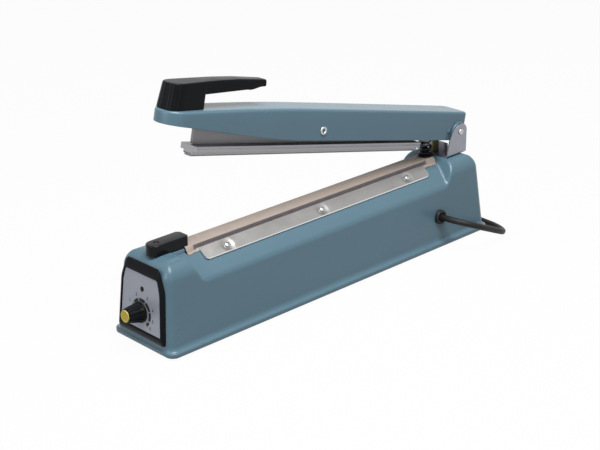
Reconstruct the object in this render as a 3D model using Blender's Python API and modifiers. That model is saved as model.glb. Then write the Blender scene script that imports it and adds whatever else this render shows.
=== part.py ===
# Heat sealer: a hand impulse sealer with a lifting arm, about 300 mm of seal.
# Metres, +Z up. The object stands on z = 0, its front (dial end) points to -X.
# Lengths along the base are measured back from the front edge of its lip, and heights from the lip's underside.
import math

import bmesh
import bpy
from mathutils import Matrix, Vector

# Gaps and cutters
GAP = 0.0003
OVERRUN = 0.004
HOLE_PLAY = 0.0003
MERGE = 0.00001
MILLIMETRE = 0.001
ROUND_STEPS = 16
FINE_STEPS = 24

# Base housing
BASE_LENGTH = 0.4318
BASE_WIDTH = 0.0873
BASE_HEIGHT = 0.0833
FOOT_STANDOFF = 0.0025
LIP_HEIGHT = 0.0042
LIP_CORNER = 0.008
FLARE_HEIGHT = 0.0058
SIDE_FLARE = 0.00465
END_FLARE = 0.0016
SIDE_DRAFT = math.radians(4.55)
END_DRAFT = math.radians(5.3)
WALL = 0.002
WALL_CORNER = 0.008
SHOULDER_RADIUS = 0.015
CORNER_STEPS = 4
CROWN_STEPS = 5
FLARE_STEPS = 3

# Saddle between the two humps
SADDLE_DEPTH = 0.0043
RIDGE_HALF_WIDTH = 0.010
SHOULDER_DROP = 0.0187
SADDLE_FRONT = 0.0472
SADDLE_REAR_AHEAD = 0.035
SADDLE_LEAN = math.radians(29)

# Bottom plate, feet and their screws
PLATE_THICKNESS = 0.0015
BOSS_RADIUS = 0.005
BOSS_HEIGHT = 0.014
BOSS_INSET = 0.006
FOOT_END_INSET = 0.022
FOOT_RADIUS = 0.0075
FOOT_RECESS_RADIUS = 0.0042
FOOT_RECESS_DEPTH = 0.0019
FOOT_SCREW_RADIUS = 0.0015
FOOT_SCREW_HEAD = 0.0032
FOOT_SCREW_HEAD_HEIGHT = 0.0014
FOOT_SCREW_BITE = 0.007

# Front panel
PANEL_FOOT = 0.0089
PANEL_HEADROOM = 0.0042
PANEL_HALF_WIDTH = 0.0336
PANEL_TOP_HALF_WIDTH = 0.0235
PANEL_SHOULDER_SHARE = 0.72
PANEL_SHOULDER_WIDTH_SHARE = 0.917
PANEL_THICKNESS = 0.003
PANEL_CORNER = 0.0022
PANEL_BORDER = 0.0042
PANEL_FOOT_BORDER = 0.0068
PANEL_HEAD_BORDER = 0.0099
PANEL_RIM = 0.0007
PANEL_FLOOR = 0.0014
LABEL_THICKNESS = 0.0004
LABEL_PLAY = 0.0005
LAMP_RISE = 0.0461
LAMP_OFFSET = 0.0013
LAMP_RADIUS = 0.0022
LAMP_PROUD = 0.0008
LAMP_LENGTH = 0.012

# Timer knob and what it turns
KNOB_REACH = 0.0173
KNOB_RISE = 0.0238
KNOB_STANDOFF = 0.0005
KNOB_BASE_RADIUS = 0.0098
KNOB_TIP_RADIUS = 0.0068
KNOB_FLUTE_SHARE = 0.93
KNOB_FLUTES = 12
KNOB_BORE_SHARE = 0.72
KNOB_CAP_RADIUS = 0.0056
KNOB_CAP_THICKNESS = 0.0012
KNOB_CAP_SPIGOT_RADIUS = 0.003
KNOB_CAP_SPIGOT_LENGTH = 0.002
SHAFT_RADIUS = 0.003
BUSH_RADIUS = 0.0045
POT_RADIUS = 0.0085
POT_DEPTH = 0.009
BOARD_HALF_WIDTH = 0.024
BOARD_HEIGHT = 0.046
BOARD_THICKNESS = 0.0016
BOARD_RISE_SHARE = 0.46

# Transformer on the bottom plate
CORE_LENGTH = 0.066
CORE_HEIGHT = 0.055
CORE_DEPTH = 0.028
CORE_LEG = 0.022
CORE_YOKE = 0.011
COIL_PLAY = 0.0005
COIL_DEPTH = 0.046
TRANSFORMER_PLACE = 0.200

# Element platform and what lies on it
PLATFORM_FRONT = 0.050
PLATFORM_REAR_AHEAD = 0.038
PLATFORM_HALF_WIDTH = 0.0083
PLATFORM_THICKNESS = 0.0031
STRIP_HALF_WIDTH = 0.006
STRIP_THICKNESS = 0.0003
ELEMENT_HALF_WIDTH = 0.0015
ELEMENT_THICKNESS = 0.0002
ELEMENT_TAB_HALF_WIDTH = 0.003
ELEMENT_TAB_LENGTH = 0.008
CLOTH_THICKNESS = 0.0003
CLOTH_FRONT = 0.0495
CLOTH_REAR_AHEAD = 0.028
CLOTH_HALF_WIDTH = 0.0127
TERMINAL_LENGTH = 0.009
TERMINAL_HALF_WIDTH = 0.005

# Clamp plates on the saddle's shoulders
CLAMP_FRONT = 0.0615
CLAMP_REAR_AHEAD = 0.048
CLAMP_TOP_HALF_WIDTH = 0.0108
CLAMP_FOOT_HALF_WIDTH = 0.0216
CLAMP_THICKNESS = 0.0008
CLAMP_CORNER = 0.0045
CLAMP_SCREW_INSET = 0.02925
CLAMP_SCREW_HALF_WIDTH = 0.0160
CLAMP_SCREW_RADIUS = 0.0015
CLAMP_SCREW_HEAD = 0.0029
CLAMP_SCREW_HEAD_HEIGHT = 0.0013
CLAMP_SCREW_LENGTH = 0.006
SLOT_WIDTH = 0.0007
SLOT_DEPTH = 0.0006

# End cover on the front hump
COVER_FRONT = 0.013
COVER_REAR = 0.0545
COVER_HALF_WIDTH = 0.0082
COVER_HEIGHT = 0.0100
COVER_WALL = 0.0014
COVER_SOLID_LENGTH = 0.018
COVER_BEVEL = 0.0012
COVER_SCREW_PLACE = 0.023
COVER_SCREW_RADIUS = 0.0014
COVER_SCREW_HEAD = 0.0024
COVER_SCREW_HEAD_HEIGHT = 0.0012
COVER_SCREW_RECESS = 0.0016

# Hinge bracket, pin and screws
PIN_REAR_INSET = 0.0228
PIN_RISE = 0.0242
PIN_RADIUS = 0.002
PIN_HEAD_RADIUS = 0.0034
PIN_HEAD_HEIGHT = 0.0012
BRACKET_THICKNESS = 0.0015
BRACKET_HALF_WIDTH = 0.0215
BRACKET_AHEAD = 0.0206
BRACKET_BEHIND = 0.0085
EAR_RADIUS = 0.0104
EAR_STEPS = 8
EAR_FRONT_SHARES = ((0.000, 0.000), (0.124, 0.749), (0.261, 1.075))
TAB_AHEAD = 0.0055
TAB_THICKNESS = 0.0015
TAB_HALF_WIDTH = 0.0075
TAB_HEIGHT = 0.0092
BRACKET_SCREW_AHEAD = 0.009
BRACKET_SCREW_HALF_SPREAD = 0.0135
BRACKET_SCREW_RADIUS = 0.0018
BRACKET_SCREW_HEAD = 0.0034
BRACKET_SCREW_HEAD_HEIGHT = 0.0018
BRACKET_SCREW_LENGTH = 0.0075

# Lifting arm, measured ahead of the pin and above it with the arm closed
REST_OPENING = math.radians(13.25)
ARM_NOSE_PLACE = 0.0203
ARM_TAIL = 0.0125
ARM_TAIL_CORNER = 0.007
ARM_HALF_WIDTH = 0.0175
ARM_NOSE_LENGTH = 0.0182
ARM_RISE = 0.0229
ARM_DROP = 0.0099
ARM_WALL = 0.0018
ARM_EDGE_RADIUS = 0.003
ARM_NOSE_STEPS = 5
ARM_TAIL_STEPS = 3
# Station ahead of the pin, upper edge above it, lower edge below it, as shares of length, rise and drop
ARM_EDGE_SHARES = (
    (-0.035, 0.873, 1.010), (0.000, 0.882, 1.000), (0.250, 0.934, 0.909), (0.419, 0.965, 0.838),
    (0.617, 1.000, 0.747), (0.725, 0.978, 0.424), (0.790, 0.948, 0.141), (0.852, 0.913, -0.141),
    (0.913, 0.878, -0.394), (0.953, 0.856, -0.626), (1.000, 0.830, -0.707),
)
HINGE_BOSS_RADIUS = 0.0088
HINGE_BOSS_HEIGHT = 0.0022

# Pressure beam (a plate on edge), press bar and silicone strip, measured from the same pin
PIVOT_AHEAD = 0.201
PIVOT_RISE = 0.002
PIVOT_RADIUS = 0.002
PIVOT_HEAD_RADIUS = 0.0042
PIVOT_HEAD_HEIGHT = 0.0014
PIVOT_NUT_HEIGHT = 0.0022
BEAM_NOSE_SETBACK = 0.0413
BEAM_REAR = 0.052
BEAM_HALF_THICKNESS = 0.0016
BEAM_TOP_RISE = 0.004
BEAM_CORNER = 0.003
BEAM_HUB_RADIUS = 0.005
BAR_NOSE_SETBACK = 0.0387
BAR_REAR = 0.0485
BAR_TOP_DROP = 0.013
BAR_FLANGE_HALF_WIDTH = 0.0108
BAR_FLANGE_HEIGHT = 0.0055
BAR_HALF_WIDTH = 0.0063
BAR_HEIGHT = 0.0085
GROOVE_HALF_WIDTH = 0.0050
GROOVE_DEPTH = 0.0011
SILICONE_HALF_WIDTH = 0.0047

# Handle on the arm's nose
HANDLE_NOSE_SETBACK = 0.0017
HANDLE_NOSE_LENGTH = 0.0130
HANDLE_HALF_WIDTH = 0.0136
HANDLE_NECK_HALF_WIDTH = 0.0094
HANDLE_TIP_HALF_WIDTH = 0.0064
HANDLE_LENGTH = 0.1145
HANDLE_TOP_RISE = 0.0475
HANDLE_LEVER_DEPTH = 0.0098
HANDLE_CORNER = 0.0022
HANDLE_NOSE_STEPS = 4
# Station, upper edge, underside of the lever and half-width, as shares of the reach, rise, depth and width
HANDLE_LEVER_SHARES = (
    (0.000, 1.000, 0.663, 0.00), (0.065, 1.001, 0.732, 0.10), (0.155, 1.002, 0.971, 0.24),
    (0.200, 1.001, 0.950, 0.31), (0.380, 0.994, 1.112, 0.58), (0.635, 0.955, 1.265, 0.97),
)
HANDLE_BLOCK_SHARES = ((0.648, 0.953, 0.12), (0.740, 0.935, 0.62), (0.830, 0.916, 0.92), (0.885, 0.903, 1.00))
HANDLE_NOSE_RISE_SHARE = 0.885
HANDLE_SCREW_PLACE_SHARES = (0.922, 0.968)
HANDLE_SCREW_RADIUS = 0.0015
HANDLE_SCREW_HEAD = 0.0030
HANDLE_SCREW_HEAD_HEIGHT = 0.0016
HANDLE_SCREW_BITE = 0.010

# Switch link, its pin, the microswitch and its lever
LINK_AHEAD = 0.016
LINK_FRONT_AHEAD = 0.020
LINK_WIDTH = 0.0088
LINK_THICKNESS = 0.002
LINK_DEPTH = 0.0233
LINK_HEAD_RISE = 0.006
LINK_PIN_RADIUS = 0.0014
LINK_HOLE_PLAY = 0.0009
LINK_SLOT_PLAY = 0.0005
LEVER_PIVOT_AHEAD = 0.0295
LEVER_LENGTH = 0.024
LEVER_THICKNESS = 0.0008
LEVER_HALF_WIDTH = 0.002
LEVER_HUB_RADIUS = 0.0012
LEVER_LIFT = math.radians(17)
SWITCH_LENGTH = 0.028
SWITCH_HEIGHT = 0.0159
SWITCH_HALF_WIDTH = 0.0051
SWITCH_EAR_HEIGHT = 0.004
SWITCH_EAR_LENGTH = 0.005
SWITCH_BRACKET_THICKNESS = 0.0012
SWITCH_BRACKET_AHEAD = 0.032
SWITCH_BRACKET_LENGTH = 0.031

# Return spring and its seat
SPRING_AHEAD = 0.0315
SPRING_RADIUS = 0.0058
SPRING_WIRE = 0.0013
SPRING_TURNS = 8
SPRING_POINTS = 9
SEAT_RADIUS = 0.0076
SEAT_HEIGHT = 0.0022
SEAT_SPIGOT_RADIUS = 0.0042
SEAT_SPIGOT_HEIGHT = 0.006

# Cord gland on the near side
GLAND_AHEAD = 0.0497
GLAND_HEIGHT = 0.0311
GLAND_FLANGE_RADIUS = 0.0075
GLAND_FLANGE_HEIGHT = 0.0040
GLAND_BODY_RADIUS = 0.0056
GLAND_TAIL_RADIUS = 0.0042
GLAND_TAIL_LENGTH = 0.018

# Mains cord: its route from the gland to the coil, measured from the base's rear end, middle and floor
CORD_DIAMETER = 0.0065
CORD_STRAIGHT = 0.006
CORD_POINT_SPACING = 0.0135
CORD_CURVE_STEPS = 12
CORD_ROUTE = (
    (-0.07105, -0.0550, 0.0339), (-0.06765, -0.0625, 0.0329), (-0.06165, -0.0690, 0.0308),
    (-0.05475, -0.0728, 0.0281), (-0.04675, -0.0740, 0.0245), (-0.03675, -0.0740, 0.0201),
    (-0.02675, -0.0735, 0.0156), (-0.01675, -0.0723, 0.0111), (-0.00775, -0.0690, 0.007),
    (-0.00075, -0.0630, 0.0045), (0.00415, -0.0550, 0.0034), (0.00645, -0.0455, 0.0033),
    (0.00765, -0.0300, 0.0033), (0.00865, -0.0100, 0.0033), (0.00945, 0.0120, 0.0033),
    (0.00995, 0.0340, 0.0035), (0.01020, 0.0560, 0.0042), (0.01020, 0.0700, 0.00485),
    (0.01020, 0.0826, 0.00485),
)
COIL_BEHIND = -0.0318
COIL_CENTRE_Y = 0.0894
COIL_RADIUS = 0.042
COIL_PITCH = 0.0071
COIL_LAYER_PITCH = 0.0070
COIL_TURNS_IN = 1.9375
COIL_CLIMB_TURNS = 0.5
COIL_TURNS_OUT = 1.9375
COIL_POINTS = 24
TIE_THICKNESS = 0.001
TIE_HALF_WIDTH = 0.0015
TIE_PLAY = 0.0006
TIE_TURN_SHARE = 0.125
PLUG_TAIL_LENGTH = 0.029
PLUG_TAIL_RADIUS = 0.0048
PLUG_TAIL_PLAY = 0.0002
PLUG_LENGTH = 0.034
PLUG_HALF_WIDTH = 0.012
PLUG_BEVEL = 0.003
BLADE_LENGTH = 0.017
BLADE_HALF_SPREAD = 0.00635
BLADE_THICKNESS = 0.0015
BLADE_WIDTH = 0.0063

# Places and heights that follow from the base's length and height and from the pin
FRONT_X = -(BASE_LENGTH - KNOB_REACH) / 2
REAR_X = FRONT_X + BASE_LENGTH
HALF_LENGTH = BASE_LENGTH / 2
HALF_WIDTH = BASE_WIDTH / 2
WALL_FOOT = LIP_HEIGHT + FLARE_HEIGHT
RIDGE_HEIGHT = BASE_HEIGHT - SADDLE_DEPTH
ROOF_EDGE_HEIGHT = RIDGE_HEIGHT - SHOULDER_DROP
PANEL_HEIGHT = BASE_HEIGHT - PANEL_FOOT - PANEL_HEADROOM
PIN_PLACE = BASE_LENGTH - PIN_REAR_INSET
PIN_HEIGHT = BASE_HEIGHT + PIN_RISE
SADDLE_REAR = PIN_PLACE - SADDLE_REAR_AHEAD
PLATFORM_REAR = PIN_PLACE - PLATFORM_REAR_AHEAD
CLOTH_REAR = PIN_PLACE - CLOTH_REAR_AHEAD
CLAMP_REAR = PIN_PLACE - CLAMP_REAR_AHEAD
BRACKET_FRONT = PIN_PLACE - BRACKET_AHEAD
BRACKET_REAR = PIN_PLACE + BRACKET_BEHIND
TAB_FRONT = PIN_PLACE - TAB_AHEAD
BRACKET_SCREW_PLACE = PIN_PLACE - BRACKET_SCREW_AHEAD
LINK_FRONT = PIN_PLACE - LINK_FRONT_AHEAD
LINK_REAR = LINK_FRONT + LINK_WIDTH
LINK_FOOT = BASE_HEIGHT - LINK_DEPTH
LEVER_PIVOT_PLACE = PIN_PLACE - LEVER_PIVOT_AHEAD
SWITCH_BRACKET_FRONT = PIN_PLACE - SWITCH_BRACKET_AHEAD
SWITCH_BRACKET_REAR = SWITCH_BRACKET_FRONT + SWITCH_BRACKET_LENGTH
SPRING_PLACE = PIN_PLACE - SPRING_AHEAD
GLAND_PLACE = PIN_PLACE - GLAND_AHEAD
ARM_LENGTH = PIN_PLACE - ARM_NOSE_PLACE
BEAM_FRONT = ARM_LENGTH - BEAM_NOSE_SETBACK
BAR_FRONT = ARM_LENGTH - BAR_NOSE_SETBACK
HANDLE_FRONT = ARM_LENGTH - HANDLE_NOSE_SETBACK
HANDLE_TIP = HANDLE_FRONT - HANDLE_LENGTH
COIL_CENTRE_X = REAR_X + COIL_BEHIND
ROOF_Z = RIDGE_HEIGHT + GAP
HUMP_Z = BASE_HEIGHT + GAP
BED_HEIGHT = CORD_DIAMETER / 2 + TIE_THICKNESS + TIE_PLAY
LAID_HEIGHT = BED_HEIGHT + COIL_LAYER_PITCH

SHOWN = bpy.data.collections.new("heat_sealer")
CUTTERS = bpy.data.collections.new("cutters")


def clear_scene():
    for obj in list(bpy.data.objects):
        bpy.data.objects.remove(obj, do_unlink=True)
    for collection in (SHOWN, CUTTERS):
        bpy.context.scene.collection.children.link(collection)


def finish(name, colour, roughness, metallic=0.0):
    material = bpy.data.materials.new(name)
    material.use_nodes = True
    shader = material.node_tree.nodes["Principled BSDF"]
    shader.inputs["Base Color"].default_value = (*colour, 1.0)
    shader.inputs["Roughness"].default_value = roughness
    shader.inputs["Metallic"].default_value = metallic
    return material


def make_finishes():
    return {
        "blue_enamel": finish("blue_enamel", (0.105, 0.175, 0.215), 0.4),
        "black_plastic": finish("black_plastic", (0.012, 0.013, 0.015), 0.4),
        "soft_black": finish("soft_black", (0.015, 0.015, 0.016), 0.7),
        "zinc_steel": finish("zinc_steel", (0.55, 0.56, 0.58), 0.35, 1.0),
        "bright_steel": finish("bright_steel", (0.70, 0.70, 0.70), 0.25, 1.0),
        "aluminium": finish("aluminium", (0.60, 0.60, 0.62), 0.35, 1.0),
        "silver_label": finish("silver_label", (0.30, 0.31, 0.36), 0.45, 0.3),
        "beige_cloth": finish("beige_cloth", (0.46, 0.38, 0.32), 0.6),
        "yellow_plastic": finish("yellow_plastic", (0.70, 0.55, 0.03), 0.4),
        "yellow_zinc": finish("yellow_zinc", (0.30, 0.28, 0.10), 0.4, 0.8),
        "brass": finish("brass", (0.70, 0.50, 0.20), 0.35, 1.0),
        "silicone": finish("silicone", (0.35, 0.33, 0.34), 0.6),
        "circuit_green": finish("circuit_green", (0.03, 0.16, 0.06), 0.5),
        "copper": finish("copper", (0.60, 0.27, 0.12), 0.4, 1.0),
        "core_steel": finish("core_steel", (0.20, 0.20, 0.21), 0.5, 1.0),
        "lamp_lens": finish("lamp_lens", (0.05, 0.01, 0.01), 0.2),
    }


def empty(name, parent=None, location=(0, 0, 0), rotation=(0, 0, 0)):
    obj = bpy.data.objects.new(name, None)
    obj.location = location
    obj.rotation_euler = rotation
    obj.parent = parent
    SHOWN.objects.link(obj)
    return obj


def place(name, mesh, material=None, parent=None, location=(0, 0, 0), rotation=(0, 0, 0)):
    """Put a mesh in the scene as a sub-part, or as a cutter when it has no material."""
    obj = bpy.data.objects.new(name, mesh)
    obj.location = location
    obj.rotation_euler = rotation
    obj.parent = parent
    if material is None:
        obj.hide_render = True
        obj.display_type = "WIRE"
        CUTTERS.objects.link(obj)
    else:
        mesh.materials.append(material)
        SHOWN.objects.link(obj)
    return obj


def mesh_from(bm, name):
    mesh = bpy.data.meshes.new(name)
    bmesh.ops.recalc_face_normals(bm, faces=bm.faces)
    bm.to_mesh(mesh)
    bm.free()
    return mesh


def modify(obj, kind, name, **settings):
    modifier = obj.modifiers.new(name, kind)
    for key, value in settings.items():
        setattr(modifier, key, value)
    return modifier


def cut(obj, cutter):
    modify(obj, "BOOLEAN", "cut " + cutter.name, operation="DIFFERENCE", object=cutter, solver="EXACT")


def join(obj, other):
    modify(obj, "BOOLEAN", "join " + other.name, operation="UNION", object=other, solver="EXACT")


def box(name, low, high, material=None, parent=None, location=(0, 0, 0), rotation=(0, 0, 0)):
    """A block between two corners of its parent's frame."""
    bm = bmesh.new()
    bmesh.ops.create_cube(bm, size=1)
    size = Vector(high) - Vector(low)
    middle = (Vector(high) + Vector(low)) / 2
    bmesh.ops.scale(bm, vec=size, verts=bm.verts)
    bmesh.ops.translate(bm, vec=middle, verts=bm.verts)
    return place(name, mesh_from(bm, name), material, parent, location, rotation)


def rod(name, radius, low, high, material=None, parent=None, location=(0, 0, 0), rotation=(0, 0, 0),
        steps=ROUND_STEPS):
    """A round bar along its own Z, from low to high."""
    bm = bmesh.new()
    bmesh.ops.create_cone(bm, cap_ends=True, segments=steps, radius1=radius, radius2=radius, depth=high - low)
    bmesh.ops.translate(bm, vec=(0, 0, (high + low) / 2), verts=bm.verts)
    return place(name, mesh_from(bm, name), material, parent, location, rotation)


def turned(name, profile, material, parent=None, location=(0, 0, 0), rotation=(0, 0, 0), steps=ROUND_STEPS):
    """A turned piece: (radius, height) points run from the top of the axis to its foot."""
    bm = bmesh.new()
    points = [bm.verts.new((radius, 0, height)) for radius, height in profile]
    for first, second in zip(points, points[1:]):
        bm.edges.new((first, second))
    mesh = bpy.data.meshes.new(name)
    bm.to_mesh(mesh)
    bm.free()
    obj = place(name, mesh, material, parent, location, rotation)
    modify(obj, "SCREW", "turn", steps=steps, render_steps=steps, use_merge_vertices=True,
           merge_threshold=MERGE, axis="Z")
    return obj


def sheet(name, outlines, thickness, material=None, parent=None, location=(0, 0, 0), rotation=(0, 0, 0)):
    """A flat piece in its own XY plane, with its thickness shared to both sides; later outlines are its holes."""
    curve = bpy.data.curves.new(name, "CURVE")
    curve.dimensions = "2D"
    curve.fill_mode = "BOTH"
    curve.extrude = thickness / 2
    for outline in outlines:
        spline = curve.splines.new("POLY")
        spline.points.add(len(outline) - 1)
        for point, (across, along) in zip(spline.points, outline):
            point.co = (across, along, 0, 1)
        spline.use_cyclic_u = True
    obj = place(name + " outline", curve.copy(), material, parent, location, rotation)
    return as_mesh(obj, name, material)


def as_mesh(obj, name, material):
    """Swap a curve object for a closed mesh object in the same place."""
    bpy.context.view_layer.update()
    evaluated = obj.evaluated_get(bpy.context.evaluated_depsgraph_get())
    mesh = bpy.data.meshes.new_from_object(evaluated)
    bm = bmesh.new()
    bm.from_mesh(mesh)
    bmesh.ops.remove_doubles(bm, verts=bm.verts, dist=MERGE)
    bm.to_mesh(mesh)
    bm.free()
    mesh.materials.clear()
    solid = place(name, mesh, material, obj.parent, obj.location, obj.rotation_euler)
    bpy.data.objects.remove(obj, do_unlink=True)
    return solid


def loft(name, rings, material=None, parent=None, location=(0, 0, 0), rotation=(0, 0, 0)):
    """A closed skin over rings with equal numbers of points, for shapes that change along their length."""
    bm = bmesh.new()
    loops = [[bm.verts.new(point) for point in ring] for ring in rings]
    for lower, upper in zip(loops, loops[1:]):
        for index in range(len(lower)):
            after = (index + 1) % len(lower)
            bm.faces.new((lower[index], lower[after], upper[after], upper[index]))
    bm.faces.new(loops[0])
    bm.faces.new(loops[-1])
    return place(name, mesh_from(bm, name), material, parent, location, rotation)


def arc(centre, radius, start, end, steps):
    """Points of an arc, with its ends, angles in radians."""
    turn = (end - start) / steps
    return [(centre[0] + radius * math.cos(start + turn * index),
             centre[1] + radius * math.sin(start + turn * index)) for index in range(steps + 1)]


def rounded_rectangle(half_length, half_width, radius, steps=CORNER_STEPS, centre=0.0):
    quarter = math.pi / 2
    corners = ((1, 1, 0), (-1, 1, quarter), (-1, -1, 2 * quarter), (1, -1, 3 * quarter))
    points = []
    for along, across, start in corners:
        middle = (centre + along * (half_length - radius), across * (half_width - radius))
        points += arc(middle, radius, start, start + quarter, steps)
    return points


def circle(centre, radius, steps=ROUND_STEPS):
    return arc(centre, radius, 0, 2 * math.pi, steps)[:-1]


def interpolate(table, value):
    """Straight-line reading of a table of (key, value) rows."""
    for (low_key, low), (high_key, high) in zip(table, table[1:]):
        if value <= high_key:
            break
    return low + (high - low) * (value - low_key) / (high_key - low_key)


def side_wall(height):
    """Half the width across the outside of the drafted side walls at a height."""
    return HALF_WIDTH - SIDE_FLARE - (height - WALL_FOOT) * math.tan(SIDE_DRAFT)


def end_wall(height):
    """Distance from the middle of the base to the outside of an end wall at a height."""
    return HALF_LENGTH - END_FLARE - (height - WALL_FOOT) * math.tan(END_DRAFT)


def housing_rings(inset):
    """Rounded rectangles stacked from the open bottom to the crown; inset 0 gives the outer skin."""
    rings = []
    if inset == 0:
        rings.append((0, HALF_LENGTH, HALF_WIDTH, LIP_CORNER))
        for step in range(FLARE_STEPS + 1):
            turn = math.pi / 2 * step / FLARE_STEPS
            height = LIP_HEIGHT + FLARE_HEIGHT * (1 - math.cos(turn))
            spread = 1 - math.sin(turn)
            length = end_wall(WALL_FOOT) + END_FLARE * spread
            width = side_wall(WALL_FOOT) + SIDE_FLARE * spread
            rings.append((height, length, width, LIP_CORNER + (WALL_CORNER - LIP_CORNER) * (1 - spread)))
    else:
        rings.append((-OVERRUN, end_wall(0) - inset, side_wall(0) - inset, WALL_CORNER - inset))
    radius = SHOULDER_RADIUS - inset
    crown = BASE_HEIGHT - SHOULDER_RADIUS
    middle_length = end_wall(crown) - SHOULDER_RADIUS / math.cos(END_DRAFT)
    middle_width = side_wall(crown) - SHOULDER_RADIUS / math.cos(SIDE_DRAFT)
    for step in range(CROWN_STEPS + 1):
        side_turn = SIDE_DRAFT + (math.pi / 2 - SIDE_DRAFT) * step / CROWN_STEPS
        end_turn = END_DRAFT + (math.pi / 2 - END_DRAFT) * step / CROWN_STEPS
        height = crown + radius * math.sin(side_turn)
        length = middle_length + radius * math.cos(end_turn)
        width = middle_width + radius * math.cos(side_turn)
        rings.append((height, length, width, WALL_CORNER - inset))
    return [[(x, y, height) for x, y in rounded_rectangle(length, width, corner, centre=HALF_LENGTH)]
            for height, length, width, corner in rings]


def roof_angle():
    return math.atan2(RIDGE_HEIGHT - ROOF_EDGE_HEIGHT, side_wall(ROOF_EDGE_HEIGHT) - RIDGE_HALF_WIDTH)


def saddle_cutter(name, depth, parent):
    """The space above the ridge and its two shoulders, with end faces that lean away from it."""
    reach = HALF_WIDTH + OVERRUN
    drop = (reach - RIDGE_HALF_WIDTH) * math.tan(roof_angle())
    top = BASE_HEIGHT + SHOULDER_RADIUS
    section = ((-reach, RIDGE_HEIGHT - drop), (-RIDGE_HALF_WIDTH, RIDGE_HEIGHT),
               (RIDGE_HALF_WIDTH, RIDGE_HEIGHT), (reach, RIDGE_HEIGHT - drop), (reach, top), (-reach, top))
    spread = depth / math.cos(SADDLE_LEAN)
    rings = []
    for edge, outward in ((SADDLE_FRONT, -1), (SADDLE_REAR, 1)):
        rings.append([(edge + outward * (spread + (z - ROOF_EDGE_HEIGHT) * math.tan(SADDLE_LEAN)), y, z - depth)
                      for y, z in section])
    return loft(name, rings, parent=parent)


def saddle_end(edge, outward, height):
    return edge + outward * (height - ROOF_EDGE_HEIGHT) * math.tan(SADDLE_LEAN)


def foot_places():
    """Where the feet and their screws stand, from the lip's front edge and the middle."""
    across = side_wall(0) - WALL - BOSS_INSET
    for x in (FOOT_END_INSET, BASE_LENGTH - FOOT_END_INSET):
        for y in (-across, across):
            yield x, y


def make_housing(base, finishes):
    housing = loft("base_housing", housing_rings(0), finishes["blue_enamel"], base)
    cut(housing, saddle_cutter("saddle", 0, base))
    cavity = loft("housing_cavity", housing_rings(WALL), parent=base)
    cut(cavity, saddle_cutter("saddle_underside", WALL, base))
    cut(housing, cavity)
    boss_foot = 2 * GAP + PLATE_THICKNESS
    for index, (x, y) in enumerate(foot_places(), 1):
        boss = rod(f"boss_{index}", BOSS_RADIUS, boss_foot, boss_foot + BOSS_HEIGHT, parent=base,
                   location=(x, y, 0))
        join(housing, boss)
        pilot = rod(f"boss_pilot_{index}", FOOT_SCREW_RADIUS + HOLE_PLAY, -OVERRUN,
                    boss_foot + FOOT_SCREW_BITE + GAP, parent=base, location=(x, y, 0))
        cut(housing, pilot)
    return housing


def make_bottom(base, finishes):
    """Steel plate inside the lip, with a rubber foot and a screw at each corner."""
    length = end_wall(0) - WALL - 2 * GAP
    width = side_wall(0) - WALL - 2 * GAP
    outline = rounded_rectangle(length, width, WALL_CORNER - WALL, centre=HALF_LENGTH)
    holes = [circle(at, FOOT_SCREW_RADIUS + HOLE_PLAY) for at in foot_places()]
    sheet("bottom_plate", [outline] + holes, PLATE_THICKNESS, finishes["zinc_steel"], base,
          location=(0, 0, GAP + PLATE_THICKNESS / 2))
    bore = FOOT_SCREW_RADIUS + HOLE_PLAY
    tread = -FOOT_STANDOFF
    foot = [(bore, 0), (FOOT_RADIUS, 0), (FOOT_RADIUS, tread), (FOOT_RECESS_RADIUS, tread),
            (FOOT_RECESS_RADIUS, tread + FOOT_RECESS_DEPTH), (bore, tread + FOOT_RECESS_DEPTH), (bore, 0)]
    head_top = tread + FOOT_RECESS_DEPTH - GAP
    tip = GAP + PLATE_THICKNESS + GAP + FOOT_SCREW_BITE
    screw = [(0, tip), (FOOT_SCREW_RADIUS, tip), (FOOT_SCREW_RADIUS, head_top), (FOOT_SCREW_HEAD, head_top),
             (FOOT_SCREW_HEAD, head_top - FOOT_SCREW_HEAD_HEIGHT), (0, head_top - FOOT_SCREW_HEAD_HEIGHT)]
    for index, (x, y) in enumerate(foot_places(), 1):
        turned(f"foot_{index}", foot, finishes["soft_black"], base, location=(x, y, 0))
        turned(f"foot_screw_{index}", screw, finishes["zinc_steel"], base, location=(x, y, 0))


def panel_axes(base):
    """A frame on the front wall: +X to the viewer's right, +Y up the wall, +Z out of it."""
    along_up = Vector((math.sin(END_DRAFT), 0, math.cos(END_DRAFT)))
    outward = Vector((-math.cos(END_DRAFT), 0, math.sin(END_DRAFT)))
    rightward = Vector((0, -1, 0))
    turn = Matrix((rightward, along_up, outward)).transposed().to_euler()
    return empty("panel_frame", base, (HALF_LENGTH - end_wall(PANEL_FOOT), 0, PANEL_FOOT), turn)


def panel_half_width(height):
    shoulder = PANEL_HALF_WIDTH * PANEL_SHOULDER_WIDTH_SHARE
    return interpolate([(0, PANEL_HALF_WIDTH), (PANEL_HEIGHT * PANEL_SHOULDER_SHARE, shoulder),
                        (PANEL_HEIGHT, PANEL_TOP_HALF_WIDTH)], height)


def panel_outline(side_border, foot_border, head_border):
    """The panel's face: near upright sides to the shoulder, then drawn in to the top, with cut corners."""
    foot = foot_border + PANEL_CORNER
    level = PANEL_HEIGHT * PANEL_SHOULDER_SHARE - side_border / 2
    top = PANEL_HEIGHT - head_border
    right = [(panel_half_width(foot_border) - side_border - PANEL_CORNER, foot_border),
             (panel_half_width(foot) - side_border, foot),
             (panel_half_width(level) - side_border, level),
             (panel_half_width(top - PANEL_CORNER) - side_border, top - PANEL_CORNER),
             (panel_half_width(top) - side_border - PANEL_CORNER, top)]
    return right + [(-x, y) for x, y in reversed(right)]


def panel_recess(play):
    """Outline inside the bezel's sloping border, smaller by a play all round."""
    return panel_outline(PANEL_BORDER + play, PANEL_FOOT_BORDER + play, PANEL_HEAD_BORDER + play)


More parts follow.
